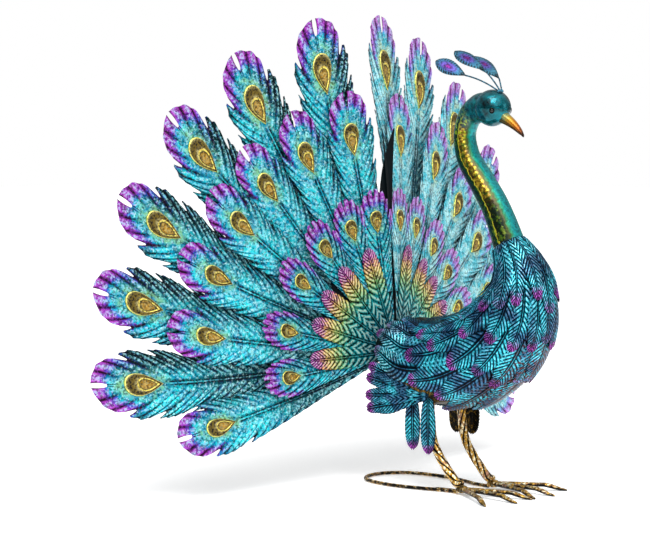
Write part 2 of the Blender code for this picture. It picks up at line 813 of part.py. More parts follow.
def add_tail(parent):
    for side in (RIGHT, LEFT):
        word = SIDE_NAMES[side]
        for number, angle in enumerate(PLUME_ANGLES[side], 1):
            name = f"tail_plume_{word}_{number}"
            add_tail_feather(name, side, angle, "plume", False, parent)
        for number, angle in enumerate(COVER_ANGLES[side], 1):
            name = f"tail_cover_{word}_{number}"
            staggered = number % 2 == 0
            add_tail_feather(name, side, angle, "cover", staggered, parent)
        add_small_sheet(
            f"tail_small_eyes_{word}", side, SMALL_EYE_ANGLES[side], SMALL_EYE_LENGTH,
            SMALL_EYE_HALF_ANGLE, SMALL_EYE_NOTCH, "small_eye", parent,
        )
        add_small_sheet(
            f"tail_rosette_{word}", side, ROSETTE_ANGLES[side], ROSETTE_LENGTH,
            ROSETTE_HALF_ANGLE, ROSETTE_NOTCH, "rosette", parent,
        )


def add_root_plate(parent):
    """Plate behind the fan that carries the stems of both halves."""
    rows = []
    for reach in (SHEET_ROOT, ROOT_PLATE_RADIUS):
        row = []
        for i in range(-ROOT_PLATE_COLUMNS, ROOT_PLATE_COLUMNS + 1):
            angle = ROOT_PLATE_ANGLE * abs(i) / ROOT_PLATE_COLUMNS
            side = RIGHT if i < 0 else LEFT
            row.append(fan_point(side, angle, reach, -ROOT_PLATE_STEP))
        rows.append(row)
    return add_sheet("tail_root_plate", rows, TAIL_SHEET, "back_black", parent)


def clear_scene():
    for obj in list(bpy.data.objects):
        bpy.data.objects.remove(obj, do_unlink=True)
    for group in list(bpy.data.collections):
        bpy.data.collections.remove(group)
    bpy.context.scene.collection.children.link(bpy.data.collections.new(FIGURE))


def main():
    clear_scene()
    body = add_body()
    add_feather_rows(body)
    add_wing_tips(body)
    add_thigh_feathers(body)
    add_neck(body)
    head = add_head(body)
    add_eye_bosses(head, body)
    add_beak(body)
    add_crest(body)
    add_legs(body)
    add_feet(body)
    add_stand_loop(body)
    add_tail(body)
    add_root_plate(body)


main()
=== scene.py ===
"""Looks of a painted sheet steel garden peacock, laid out as a Blender add-on.

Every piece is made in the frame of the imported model: metres, +Z up, the bird
looking along -Y with its right side on -X.
"""

from math import cos, pi, radians, sin

import bpy
import numpy as np
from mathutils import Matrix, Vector, noise


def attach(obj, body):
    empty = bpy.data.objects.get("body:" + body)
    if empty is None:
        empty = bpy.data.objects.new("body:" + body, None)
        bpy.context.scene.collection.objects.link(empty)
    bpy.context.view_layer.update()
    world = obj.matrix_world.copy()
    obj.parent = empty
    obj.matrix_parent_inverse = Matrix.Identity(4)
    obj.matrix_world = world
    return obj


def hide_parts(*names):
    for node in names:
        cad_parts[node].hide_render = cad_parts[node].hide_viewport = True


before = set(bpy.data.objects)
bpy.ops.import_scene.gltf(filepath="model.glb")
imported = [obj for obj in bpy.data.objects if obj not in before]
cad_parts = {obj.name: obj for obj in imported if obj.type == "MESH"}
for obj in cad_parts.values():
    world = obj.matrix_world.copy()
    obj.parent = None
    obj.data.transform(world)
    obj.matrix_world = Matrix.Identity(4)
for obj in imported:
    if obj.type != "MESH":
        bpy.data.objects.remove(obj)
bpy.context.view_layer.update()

bl_info = {
    "name": "Painted steel peacock",
    "version": (1, 0, 0),
    "blender": (4, 5, 0),
    "location": "View3D > Sidebar > Peacock",
    "description": "Builds a painted sheet steel peacock with its tail open",
    "category": "Object",
}

MM = 0.001
RIGHT, LEFT = -1, 1
SIDES = {RIGHT: "right", LEFT: "left"}
BODY = "root"

# The figure stands this far back from the point midway between its heels
SET_BACK = -0.0613

# Body form, from the rump to the neck: ahead, up, half height, half width
BODY_STATIONS = (
    (-0.1060, 0.1505, 0.0262, 0.0425),
    (-0.0880, 0.1440, 0.0365, 0.0500),
    (-0.0600, 0.1310, 0.0440, 0.0520),
    (-0.0150, 0.1350, 0.0460, 0.0520),
    (0.0260, 0.1560, 0.0440, 0.0480),
    (0.0500, 0.1860, 0.0390, 0.0400),
    (0.0580, 0.2150, 0.0290, 0.0320),
    (0.0530, 0.2380, 0.0220, 0.0230),
    (0.0403, 0.2590, 0.0155, 0.0155),
)
BODY_SQUARENESS = 2.3

# Tail fan: root, lean, sweep of each half, and how far each layer stands forward
FAN_ROOT = (-0.1140, 0.1380)
FAN_LEAN = 7.5
FAN_SWEEP = 14.5
FAN_CURVE = 0.28
LAYER_STEP = 0.0014
STAGGER = 0.0038
STAGGER_REACH = (0.070, 0.130)
RISE_START = 0.035
FAN_RISE = {"plume": 0.0, "cover": 0.012, "small_eye": 0.069, "rosette": 0.088}
FAN_STACK = {"plume": 0, "cover": 1, "small_eye": 2, "rosette": 3}
FAN_ANGLES = {
    "plume": {RIGHT: (16, 33, 49, 65.5, 81, 96), LEFT: (11.5, 26.5, 43, 60, 77, 94)},
    "cover": {
        RIGHT: (12, 27.5, 41.5, 54.5, 69.5, 85, 108),
        LEFT: (15.5, 34.5, 52, 65.5, 80.5, 95, 109),
    },
    "small_eye": {RIGHT: (9, 22.5, 38, 57, 79, 98.5), LEFT: (9, 24, 42, 58.5, 76, 96)},
    "rosette": {RIGHT: (18, 38, 55.5, 72.5, 92), LEFT: (17, 36.5, 52, 69, 88)},
}

# Feather patterns, in millimetres. Each barb group is (ridges, depth of the
# notch before it as a share of the barb, barbs as (stem, half width, height))
PATTERNS = {
    "plume": {
        "length": 361.2, "half": 36.0, "columns": 10, "ridge_rows": 6, "pleat": 1.3,
        "eye": (281.5, 42.5, 11.6), "rachis": 1.3,
        "groups": (
            (15, 0, ((37, 2.7, 41), (95, 10, 116), (155, 19.5, 192), (210, 31.0, 256))),
            (4, 0.22, ((212, 30.0, 262), (227, 34.6, 278), (243, 35.4, 294))),
            (3, 0.20, ((245, 32.6, 298), (258, 35.8, 313), (272, 31.6, 327))),
            (3, 0.20, (
                (275, 27.8, 331), (293, 25.6, 345), (318, 15.4, 356), (343, 2.0, 361.2),
            )),
        ),
    },
    "cover": {
        "length": 280.6, "half": 30.0, "columns": 10, "ridge_rows": 6, "pleat": 1.0,
        "eye": (212.0, 34.0, 9.4), "rachis": 1.3,
        "groups": (
            (11, 0, ((32, 2.7, 36), (80, 10, 98), (125, 18.5, 152), (167, 27.0, 205))),
            (4, 0.20, ((169, 25.5, 211), (187, 29.6, 230), (206, 27.8, 248))),
            (3, 0.20, (
                (208, 24.0, 252), (224, 22.6, 265.5), (246, 13, 276), (264, 1.9, 280.6),
            )),
        ),
    },
    "small_eye": {
        "length": 173.5, "half": 19.5, "columns": 8, "ridge_rows": 4, "pleat": 0.7,
        "eye": (127.5, 23.0, 7.4), "rachis": 1.0,
        "groups": (
            (11, 0, ((12, 1.4, 14), (45, 7, 55), (75, 13.5, 98), (95, 18.6, 128))),
            (2, 0.16, ((97, 18.4, 131), (106, 20.4, 142), (114, 19.2, 153))),
            (3, 0.16, (
                (115, 18.6, 155), (124, 15.8, 165), (140, 8, 172), (166, 0.9, 173.5),
            )),
        ),
    },
    "rosette": {
        "length": 116.0, "half": 11.6, "columns": 6, "ridge_rows": 4, "pleat": 0.8,
        "eye": None, "rachis": 0.7,
        "groups": (
            (19, 0, (
                (3, 2.6, 8), (24, 8.0, 34), (48, 11.4, 59), (73, 11.6, 84),
                (90, 10.2, 101), (103, 6.6, 111), (113, 0.4, 116),
            )),
        ),
    },
    "body": {
        "length": 76.0, "half": 15.0, "columns": 7, "ridge_rows": 4, "pleat": 0.85,
        "eye": None, "rachis": 0.9,
        "groups": (
            (18, 0, (
                (1, 8.5, 4), (12, 13, 22), (26, 15, 38), (38, 13.8, 50), (49, 10.2, 60),
                (59, 6.9, 67), (68, 5.0, 73), (75, 0.4, 76),
            )),
        ),
    },
    "wing": {
        "length": 86.0, "half": 10.5, "columns": 6, "ridge_rows": 4, "pleat": 0.9,
        "eye": None, "rachis": 1.2,
        "groups": (
            (17, 0, (
                (3, 3.5, 6), (22, 7.6, 34), (38, 10.4, 52), (50, 9.6, 64),
                (61, 7.4, 72), (72, 6.2, 80), (82, 3.4, 85), (85.4, 0.4, 86),
            )),
        ),
    },
    "thigh": {
        "length": 60.0, "half": 10.5, "columns": 6, "ridge_rows": 4, "pleat": 0.6,
        "eye": None, "rachis": 0.8,
        "groups": (
            (16, 0, (
                (1, 7.0, 5), (10, 9.6, 19), (24, 10.5, 34), (38, 9.4, 47),
                (48, 6.6, 55), (58.5, 0.4, 60),
            )),
        ),
    },
}

# Body feathers, in rows from the neck to the rump: half width round the side,
# feather length, and each feather's place (0 back, 1 keel), station of its tip
# and how violet that tip is
BODY_ROWS = (
    ("collar", 0.125, 92, (
        (0.04, 5.2, 0), (0.18, 5.3, 0), (0.40, 5.0, 1), (0.53, 5.4, 0.4), (0.67, 5.6, 1),
        (0.88, 5.8, 1), (1.00, 5.5, 0.6),
    )),
    ("breast", 0.105, 80, (
        (0.15, 3.9, 0), (0.29, 4.2, 0.3), (0.42, 4.0, 1), (0.58, 4.5, 1), (0.75, 4.6, 1),
        (0.90, 4.7, 1), (1.00, 4.9, 0.5),
    )),
    ("flank", 0.105, 78, (
        (0.12, 2.9, 0), (0.26, 3.1, 0.3), (0.38, 2.9, 1), (0.53, 3.4, 1), (0.66, 3.8, 0.6),
        (0.82, 3.8, 1), (0.96, 4.0, 0.5),
    )),
    ("belly", 0.105, 78, (
        (0.16, 2.0, 0), (0.28, 2.4, 1), (0.43, 2.2, 1), (0.57, 2.3, 1), (0.70, 2.8, 0.8),
        (0.84, 2.7, 0.5), (0.98, 3.0, 0.3),
    )),
    ("rump", 0.100, 78, (
        (0.06, 1.3, 0), (0.17, 0.9, 0.3), (0.27, 0.5, 0.5), (0.38, 0.2, 1),
        (0.51, 0.6, 0.6),
    )),
)
ROW_LIFTS = (-0.0004, 0.0016, 0.0040)
WING_ROOT = (0.0400, -0.0300, 0.1010)
WING_FAN = (162.5, 171.0, 184.0, 193.5)
WING_OUTWARD = 0.055
THIGH_SIDE = 0.0350
THIGH_TOP = 0.1000
THIGH_PLATES = ((-0.0590, 0.0590, 0.0480), (-0.0375, 0.0620, 0.0480))

# Neck: ahead, up, radius from the body to the head
NECK_STATIONS = (
    (0.0403, 0.2594, 0.0165),
    (0.0300, 0.2820, 0.0152),
    (0.0185, 0.3020, 0.0144),
    (0.0020, 0.3240, 0.0136),
    (-0.0125, 0.3430, 0.0127),
    (-0.0185, 0.3600, 0.0118),
    (-0.0185, 0.3740, 0.0115),
    (-0.0115, 0.3890, 0.0126),
    (0.0010, 0.3964, 0.0150),
    (0.0085, 0.3970, 0.0156),
    (0.0130, 0.3970, 0.0138),
)
HEAD_CENTRE = (0.0178, 0.3970)
HEAD_RADIUS = 0.0188
BEAK_TIP = (0.0590, 0.3685)
EYE_TURN = 53.0
EYE_DROP = 8.0
CREST_KNOT = (0.0277, 0.4140)
CREST_FEATHERS = (
    (
        "right", -1, (-0.0100, -0.0099, 0.4300), (-0.0220, -0.0402, 0.4448),
        (-0.70, 0.55, 0.45),
    ),
    (
        "middle", 0, (0.0000, 0.0066, 0.4353), (0.0000, -0.0333, 0.4550),
        (-0.50, 0.40, 0.75),
    ),
    (
        "left", 1, (0.0080, 0.0194, 0.4270), (0.0220, -0.0255, 0.4497),
        (-0.40, 0.30, 0.87),
    ),
)
LEG_SIDE = 0.0250
LEG_ROUTE = (
    (-0.0440, 0.0960), (-0.0385, 0.0500), (-0.0110, 0.0150), (-0.0010, 0.0095),
)
STUD_STEP = 0.0056
TOE_LENGTH = 0.0777
TOE_ANGLES = (32.0, 4.0, -17.0)
LOOP_ROUTE = (
    (0.0250, -0.0062), (0.0262, -0.0240), (0.0330, -0.0460), (0.0385, -0.0720),
    (0.0390, -0.0990), (0.0330, -0.1240), (0.0185, -0.1390), (0.0000, -0.1440),
)


# Black sheets behind the two small rings, painted shade in the gaps between
# their feathers; in degrees and in millimetres from the ring's root: where
# they begin, and the share of a feather's length they reach
RING_SHEET_EDGE = 0.4
RING_SHEET_PAST = 7.0
RING_SHEET_START = 9
RING_SHEET_SHARE = {"small_eye": 0.74, "rosette": 0.55}

# Black strip beside the middle line, tapering to a point: a painted shadow in the gap
# between the fan's halves
STRIP_EDGE = 0.3
STRIP_WIDTH = {RIGHT: 8.0, LEFT: 3.0}
STRIP_REACH = (90, 236)
STRIP_NARROWING = 0.97

# Gold dabs fade out between these heights
GOLD_TOP = (0.118, 0.128)

# A raised eye ends inside its sheet, this far below the middle, in millimetres
EYE_SUNK = -0.15

# Twisted rod of the legs, and the flattened wire of the loop and of its lap
LEG_RADIUS = 0.0046
LEG_STRANDS = 5
LEG_PITCH = 0.085
LOOP_WIRE = (0.0022, 0.0019)
LOOP_HEIGHT = 0.0021
LAP_WIRE = 0.0018
LAP_ASIDE = 0.0040

# Studio: kind, place, size (angle of the sun) and power of each light
LIGHTS = (
    ("sun", "SUN", (-1.2, -1.6, 2.4), 1.3, 1.6),
    ("key", "AREA", (-1.05, -0.95, 2.2), 1.3, 36.0),
    ("fill", "AREA", (1.2, -2.0, 0.8), 0.9, 3.0),
)
LIGHT_TARGET = (0, 0, 0.22)
FLOOR_SIZE = 12
FLOOR_DROP = -0.0002
FLOOR_GLOW = 0.30
CAMERA_PLACE = (-1.9105, -1.6644, 0.4229)
CAMERA_AIM = (-0.1018, 0.0600, 0.2327)
CAMERA_LENS = 134.3
CAMERA_SENSOR = 36.0


def hex_colour(text):
    """Linear RGBA of an sRGB hex value."""
    parts = [int(text[i:i + 2], 16) / 255 for i in (1, 3, 5)]
    linear = [c / 12.92 if c <= 0.04045 else ((c + 0.055) / 1.055) ** 2.4 for c in parts]
    return (*linear, 1.0)


def add_node(tree, kind, inputs=None, stops=None, **settings):
    """Add a node; an input is a value, or an output socket to link from."""
    node = tree.nodes.new(kind)
    for name, value in settings.items():
        setattr(node, name, value)
    for name, value in (inputs or {}).items():
        if isinstance(value, bpy.types.NodeSocket):
            tree.links.new(value, node.inputs[name])
        else:
            node.inputs[name].default_value = value
    if stops:
        points = node.color_ramp.elements
        while len(points) < len(stops):
            points.new(0.5)
        for point, (place, colour) in zip(points, stops):
            point.position = place
            point.color = hex_colour(colour)
    return node


def at(side, ahead, up):
    """A point so far to the side, ahead of the heels and up."""
    return np.array((side, SET_BACK - ahead, up))


def smooth(low, high, value):
    """Smooth step from 0 at low to 1 at high."""
    f = np.clip((value - low) / (high - low), 0, 1)
    return f * f * (3 - 2 * f)


def unit(vector):
    """The vectors at length one."""
    return vector / np.linalg.norm(vector, axis=-1, keepdims=True)


def along_stations(stations, t):
    """Smooth values through the stations at station numbers t."""
    p = np.array(stations, float)
    t = np.clip(t, 0, len(p) - 1)
    i = np.minimum(t.astype(int), len(p) - 2)
    f = (t - i)[:, None]
    p0, p1, p2 = p[np.maximum(i - 1, 0)], p[i], p[i + 1]
    p3 = p[np.minimum(i + 2, len(p) - 1)]
    return 0.5 * (
        2 * p1 + (p2 - p0) * f + (2 * p0 - 5 * p1 + 4 * p2 - p3) * f**2
        + (3 * p1 - p0 - 3 * p2 + p3) * f**3
    )


def body_points(t, v, side, lift):
    """Points on the body form; a place v below 0 lies over the back's middle."""
    ahead, up, height, width = along_stations(BODY_STATIONS, t).T
    step = 0.02
    way = along_stations(BODY_STATIONS, t + step) - along_stations(BODY_STATIONS, t - step)
    way = unit(way[:, :2])
    c, s = -np.cos(pi * v), np.sin(pi * v)
    power = 2 / BODY_SQUARENESS
    a = np.sign(c) * np.abs(c) ** power
    b = np.sign(s) * np.abs(s) ** power
    slope = np.stack((
        np.sign(a) * np.abs(a) ** (BODY_SQUARENESS - 1) / height,
        np.sign(b) * np.abs(b) ** (BODY_SQUARENESS - 1) / width,
    ), 1)
    slope = unit(slope)
    down = height * a + lift * slope[:, 0]
    out = width * b + lift * slope[:, 1]
    return np.stack((
        side * out, SET_BACK - (ahead + way[:, 1] * down), up - way[:, 0] * down
    ), 1)


def fan_lift(layer, reach, staggered):
    lift = FAN_STACK[layer] * LAYER_STEP
    lift = lift + FAN_RISE[layer] * np.maximum(reach - RISE_START, 0)
    if staggered:
        lift = lift + STAGGER * smooth(*STAGGER_REACH, reach)
    return lift


def fan_points(side, angle, x, y, lift):
    """Points of one half of the fan for a feather at an angle from the middle."""
    lean, sweep = radians(FAN_LEAN), radians(FAN_SWEEP)
    a = np.radians(np.atleast_1d(angle))
    upward = np.array((0, sin(lean), cos(lean)))
    backward = np.array((0, cos(lean), -sin(lean)))
    outward = np.array((side * cos(sweep), 0, 0)) + backward * sin(sweep)
    front = np.array((side * sin(sweep), 0, 0)) - backward * cos(sweep)
    along = np.outer(np.cos(a), upward) + np.outer(np.sin(a), outward)
    turn = np.outer(np.cos(a), outward) - np.outer(np.sin(a), upward)
    aside = side * x - FAN_CURVE * y * y
    return (
        at(0, *FAN_ROOT) + y[:, None] * along + aside[:, None] * turn
        + lift[:, None] * front
    )


def coordinates(obj):
    """A piece's points, one row each."""
    values = np.empty(len(obj.data.vertices) * 3)
    obj.data.vertices.foreach_get("co", values)
    return values.reshape(-1, 3)


def move_points(obj, points):
    """Put a piece's points in new places."""
    obj.data.vertices.foreach_set("co", np.ascontiguousarray(points, float).ravel())
    obj.data.update()


def paint(obj, red, green, blue, alpha):
    """Keep what the finish needs at each point: four values from 0 to 1."""
    layer = obj.data.color_attributes.new(name="paint", type="FLOAT_COLOR", domain="POINT")
    rows = np.empty((len(obj.data.vertices), 4))
    for channel, value in enumerate((red, green, blue, alpha)):
        rows[:, channel] = value
    layer.data.foreach_set("color", rows.ravel())


def tint(obj, change):
    """Change the four paint values of each point: change takes and returns rows."""
    layer = obj.data.color_attributes["paint"]
    rows = np.empty(len(layer.data) * 4)
    layer.data.foreach_get("color", rows)
    layer.data.foreach_set("color", change(rows.reshape(-1, 4)).ravel())


def deselect():
    """Nothing is selected after this."""
    bpy.ops.object.select_all(action="DESELECT")


def only(obj):
    """Select one piece and make it the active one."""
    deselect()
    obj.select_set(True)
    bpy.context.view_layer.objects.active = obj


def new_sheet(name, columns, rows):
    """Flat grid that a feather, tube or ball is shaped from; returns u and v too."""
    deselect()
    bpy.ops.mesh.primitive_grid_add(x_subdivisions=columns, y_subdivisions=rows, size=2)
    obj = bpy.context.object
    obj.name = obj.data.name = name
    while obj.data.uv_layers:
        obj.data.uv_layers.remove(obj.data.uv_layers[0])
    flat = coordinates(obj)
    return obj, (flat[:, 0] + 1) / 2, (flat[:, 1] + 1) / 2


def edit(obj, *steps):
    """Run edit mode steps on everything in the piece."""
    only(obj)
    bpy.ops.object.mode_set(mode="EDIT")
    bpy.ops.mesh.select_mode(type="VERT")
    bpy.ops.mesh.select_all(action="SELECT")
    for step, settings in steps:
        step(**settings)
    bpy.ops.object.mode_set(mode="OBJECT")


def close_up(obj):
    """Weld the sheet's meeting edges and point its faces outwards."""
    edit(
        obj,
        (bpy.ops.mesh.remove_doubles, {"threshold": 0.000002}),
        (bpy.ops.mesh.normals_make_consistent, {"inside": False}),
    )


def cut_faces(obj, doomed):
    """Delete the marked faces in edit mode."""
    only(obj)
    bpy.context.tool_settings.mesh_select_mode = (False, False, True)
    mesh = obj.data
    mesh.vertices.foreach_set("select", np.zeros(len(mesh.vertices), bool))
    mesh.edges.foreach_set("select", np.zeros(len(mesh.edges), bool))
    mesh.polygons.foreach_set("select", doomed)
    bpy.ops.object.mode_set(mode="EDIT")
    bpy.ops.mesh.delete(type="FACE")
    bpy.ops.object.mode_set(mode="OBJECT")


def apply_modifier(obj, kind, **settings):
    """Add a modifier with its settings and apply it."""
    only(obj)
    modifier = obj.modifiers.new(kind.lower(), kind)
    for name, value in settings.items():
        setattr(modifier, name, value)
    bpy.ops.object.modifier_apply(modifier=modifier.name)


def soft_shade(obj, angle=45):
    obj.data.shade_smooth()
    obj.data.set_sharp_from_angle(angle=radians(angle))


def join(name, parts):
    """One piece out of several."""
    deselect()
    for part in parts:
        part.select_set(True)
    bpy.context.view_layer.objects.active = parts[0]
    if len(parts) > 1:
        bpy.ops.object.join()
    parts[0].name = parts[0].data.name = name
    return parts[0]


def settle(obj, slot, *nodes):
    """Tie a finished piece to the body and the solids it stands for; its record slot is not
    used.
    """
    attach(obj, BODY)
    if nodes:
        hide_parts(*nodes)


# ---------------------------------------------------------------- finishes


def start_finish(name):
    """A new material with its tree and shader, or the one that exists."""
    material = bpy.data.materials.get(name)
    if material:
        return material, None, None
    material = bpy.data.materials.new(name)
    material.use_nodes = True
    tree = material.node_tree
    return material, tree, tree.nodes["Principled BSDF"]


def grain(tree, size_mm, low, high, detail=3.0, seed=0.0):
    """Speckle mask whose grains are about size_mm across, from low to high."""
    place = add_node(tree, "ShaderNodeTexCoord").outputs["Object"]
    shift = add_node(
        tree, "ShaderNodeMapping", {"Vector": place, "Location": (seed, seed, 0)}
    )
    speckle = add_node(
        tree, "ShaderNodeTexNoise",
        {"Vector": shift.outputs[0], "Scale": 1 / (size_mm * 2 * MM), "Detail": detail},
    )
    return add_node(
        tree, "ShaderNodeMapRange",
        {"Value": speckle.outputs[0], "From Min": low, "From Max": high},
    ).outputs[0]


def feather_enamel(name, ground, pale, deep, purples, halo, age):
    """Hand-brushed translucent enamel over blackened pressed steel.

    The black stays in the grooves and as a speckle. Painted shade darkens one side,
    the roots and the edges, and deepens the grooves there; the ridge tops carry a
    painted highlight, and the tips fade to violet. Grains are real size, about
    a millimetre and a half, as dabbed on with a sponge.
    """
    material, tree, shader = start_finish(name)
    if not tree:
        return material
    marks = add_node(tree, "ShaderNodeAttribute", attribute_name="paint")
    parts = add_node(tree, "ShaderNodeSeparateColor", {0: marks.outputs["Color"]})
    tip, ridge, glow = parts.outputs
    shade = marks.outputs["Alpha"]
    cloud = grain(tree, 4.5, 0.42, 0.58, 3.0)
    fine = grain(tree, 1.5, 0.42, 0.58, 2.0)
    colour = add_node(
        tree, "ShaderNodeMix", {0: cloud, 6: hex_colour(ground), 7: hex_colour(pale)},
        data_type="RGBA",
    ).outputs[2]
    # Painted shade: the fourth paint value darkens the colour towards the deep colour
    colour = add_node(
        tree, "ShaderNodeMix",
        {
            0: add_node(
                tree, "ShaderNodeMath", {0: shade, 1: 0.95}, operation="MULTIPLY",
                use_clamp=True,
            ).outputs[0],
            6: colour,
            7: hex_colour(deep),
        },
        data_type="RGBA",
    ).outputs[2]
    warm = add_node(
        tree, "ShaderNodeMath",
        {
            0: glow,
            1: add_node(
                tree, "ShaderNodeMath", {0: cloud, 1: 0.8, 2: 0.05},
                operation="MULTIPLY_ADD", use_clamp=True,
            ).outputs[0],
        },
        operation="MULTIPLY", use_clamp=True,
    ).outputs[0]
    colour = add_node(
        tree, "ShaderNodeMix",
        {
            0: add_node(
                tree, "ShaderNodeMath", {0: warm, 1: 0.7}, operation="MULTIPLY",
                use_clamp=True,
            ).outputs[0],
            6: colour,
            7: hex_colour(halo),
        },
        data_type="RGBA",
    ).outputs[2]
    wobble = add_node(
        tree, "ShaderNodeMath", {0: fine, 1: 0.30, 2: tip}, operation="MULTIPLY_ADD"
    ).outputs[0]
    fade = add_node(
        tree, "ShaderNodeMapRange", {"Value": wobble, "From Min": 0.22, "From Max": 1.15}
    ).outputs[0]
    violet = add_node(
        tree, "ShaderNodeValToRGB", {0: fade},
        stops=((0.0, purples[0]), (0.25, purples[0]), (0.5, purples[1]), (1.0, purples[2])),
    ).outputs[0]
    veil = add_node(
        tree, "ShaderNodeMapRange", {"Value": fade, "From Min": 0.0, "From Max": 0.36}
    ).outputs[0]
    colour = add_node(
        tree, "ShaderNodeMix", {0: veil, 6: colour, 7: violet}, data_type="RGBA",
    ).outputs[2]
    # Painted highlight: pale colour on the ridge tops, the raised rachis among them
    bright = add_node(
        tree, "ShaderNodeMapRange", {"Value": ridge, "From Min": 0.66, "From Max": 1.0}
    ).outputs[0]
    painted_highlight = add_node(
        tree, "ShaderNodeMath",
        {
            0: bright,
            1: add_node(
                tree, "ShaderNodeMath", {0: fine, 1: 0.9}, operation="MULTIPLY",
                use_clamp=True,
            ).outputs[0],
        },
        operation="MULTIPLY",
    ).outputs[0]
    colour = add_node(
        tree, "ShaderNodeMix",
        {
            0: add_node(
                tree, "ShaderNodeMath", {0: painted_highlight, 1: 0.6}, operation="MULTIPLY",
                use_clamp=True,
            ).outputs[0],
            6: colour,
            7: hex_colour("#9CF2F4"),
        },
        data_type="RGBA",
    ).outputs[2]
    # Black in the grooves: partly black enamel left in the hollows, partly painted shade,
    # heavier where the fourth paint value is high
    groove = add_node(
        tree, "ShaderNodeMapRange",
        {"Value": ridge, "From Min": 0.22, "From Max": 0.74, "To Min": 1.0, "To Max": 0.0},
    ).outputs[0]
    weight = add_node(
        tree, "ShaderNodeMath", {0: shade, 1: 0.8, 2: age}, operation="MULTIPLY_ADD",
        use_clamp=True,
    ).outputs[0]
    broken = add_node(
        tree, "ShaderNodeMath",
        {
            0: groove,
            1: add_node(
                tree, "ShaderNodeMath", {0: fine, 1: 0.6, 2: 0.62},
                operation="MULTIPLY_ADD", use_clamp=True,
            ).outputs[0],
        },
        operation="MULTIPLY", use_clamp=True,
    ).outputs[0]
    dark = add_node(
        tree, "ShaderNodeMath", {0: broken, 1: weight}, operation="MULTIPLY", use_clamp=True
    ).outputs[0]
    black = add_node(
        tree, "ShaderNodeMix",
        {0: veil, 6: hex_colour("#02080B"), 7: hex_colour("#1E0620")}, data_type="RGBA",
    ).outputs[2]
    colour = add_node(
        tree, "ShaderNodeMix", {0: dark, 6: colour, 7: black}, data_type="RGBA",
    ).outputs[2]
    pits = grain(tree, 1.35, 0.535, 0.575, 2.0, 0.37)
    low = add_node(
        tree, "ShaderNodeMapRange", {"Value": ridge, "To Min": 1.0, "To Max": 0.7}
    ).outputs[0]
    pits = add_node(
        tree, "ShaderNodeMath", {0: pits, 1: low}, operation="MULTIPLY", use_clamp=True
    ).outputs[0]
    colour = add_node(
        tree, "ShaderNodeMix",
        {
            0: add_node(
                tree, "ShaderNodeMath", {0: pits, 1: 0.7 * age + 0.1}, operation="MULTIPLY",
                use_clamp=True,
            ).outputs[0],
            6: colour,
            7: black,
        },
        data_type="RGBA",
    ).outputs[2]
    white = grain(tree, 1.25, 0.58, 0.63, 2.0, 0.81)
    white = add_node(
        tree, "ShaderNodeMath", {0: white, 1: ridge}, operation="MULTIPLY", use_clamp=True
    ).outputs[0]
    white = add_node(
        tree, "ShaderNodeMath",
        {
            0: white,
            1: add_node(
                tree, "ShaderNodeMath", {0: veil, 1: -0.5, 2: 1.0},
                operation="MULTIPLY_ADD", use_clamp=True,
            ).outputs[0],
        },
        operation="MULTIPLY",
    ).outputs[0]
    pale_grain = add_node(
        tree, "ShaderNodeMix",
        {0: veil, 6: hex_colour("#BCF6F6"), 7: hex_colour("#E496E8")}, data_type="RGBA",
    ).outputs[2]
    colour = add_node(
        tree, "ShaderNodeMix",
        {
            0: add_node(
                tree, "ShaderNodeMath", {0: white, 1: 0.6}, operation="MULTIPLY",
                use_clamp=True,
            ).outputs[0],
            6: colour,
            7: pale_grain,
        },
        data_type="RGBA",
    ).outputs[2]
    tree.links.new(colour, shader.inputs["Base Color"])
    shader.inputs["Metallic"].default_value = 0.5
    shader.inputs["Specular IOR Level"].default_value = 0.12
    rough = add_node(
        tree, "ShaderNodeMapRange", {"Value": fine, "To Min": 0.30, "To Max": 0.55}
    ).outputs[0]
    tree.links.new(rough, shader.inputs["Roughness"])
    bump = add_node(
        tree, "ShaderNodeBump", {"Height": fine, "Strength": 0.4, "Distance": 0.0004}
    )
    tree.links.new(bump.outputs[0], shader.inputs["Normal"])
    return material


def backing_enamel(name="blackened_sheet_steel_enamel", low="#070C0F", high="#14505E"):
    """Thin matt black enamel with a little teal overspray, on the sheets' backs."""
    material, tree, shader = start_finish(name)
    if not tree:
        return material
    marks = add_node(tree, "ShaderNodeAttribute", attribute_name="paint")
    ridge = add_node(
        tree, "ShaderNodeSeparateColor", {0: marks.outputs["Color"]}
    ).outputs[1]
    cloud = grain(tree, 14.0, 0.36, 0.70, 3.0)
    fine = grain(tree, 0.9, 0.38, 0.62, 3.0)
    colour = add_node(
        tree, "ShaderNodeMix",
        {
            0: add_node(
                tree, "ShaderNodeMath", {0: ridge, 1: 0.75}, operation="MULTIPLY",
                use_clamp=True,
            ).outputs[0],
            6: hex_colour(low),
            7: hex_colour(high),
        },
        data_type="RGBA",
    ).outputs[2]
    colour = add_node(
        tree, "ShaderNodeMix",
        {
            0: add_node(
                tree, "ShaderNodeMath", {0: cloud, 1: 0.25}, operation="MULTIPLY",
                use_clamp=True,
            ).outputs[0],
            6: colour,
            7: hex_colour(high),
        },
        data_type="RGBA",
    ).outputs[2]
    colour = add_node(
        tree, "ShaderNodeMix",
        {
            0: add_node(
                tree, "ShaderNodeMath", {0: fine, 1: 0.2}, operation="MULTIPLY",
                use_clamp=True,
            ).outputs[0],
            6: colour,
            7: hex_colour("#0C181C"),
        },
        data_type="RGBA",
    ).outputs[2]
    tree.links.new(colour, shader.inputs["Base Color"])
    shader.inputs["Metallic"].default_value = 0.3
    shader.inputs["Specular IOR Level"].default_value = 0.12
    shader.inputs["Roughness"].default_value = 0.5
    bump = add_node(
        tree, "ShaderNodeBump", {"Height": fine, "Strength": 0.25, "Distance": 0.0003}
    )
    tree.links.new(bump.outputs[0], shader.inputs["Normal"])
    return material


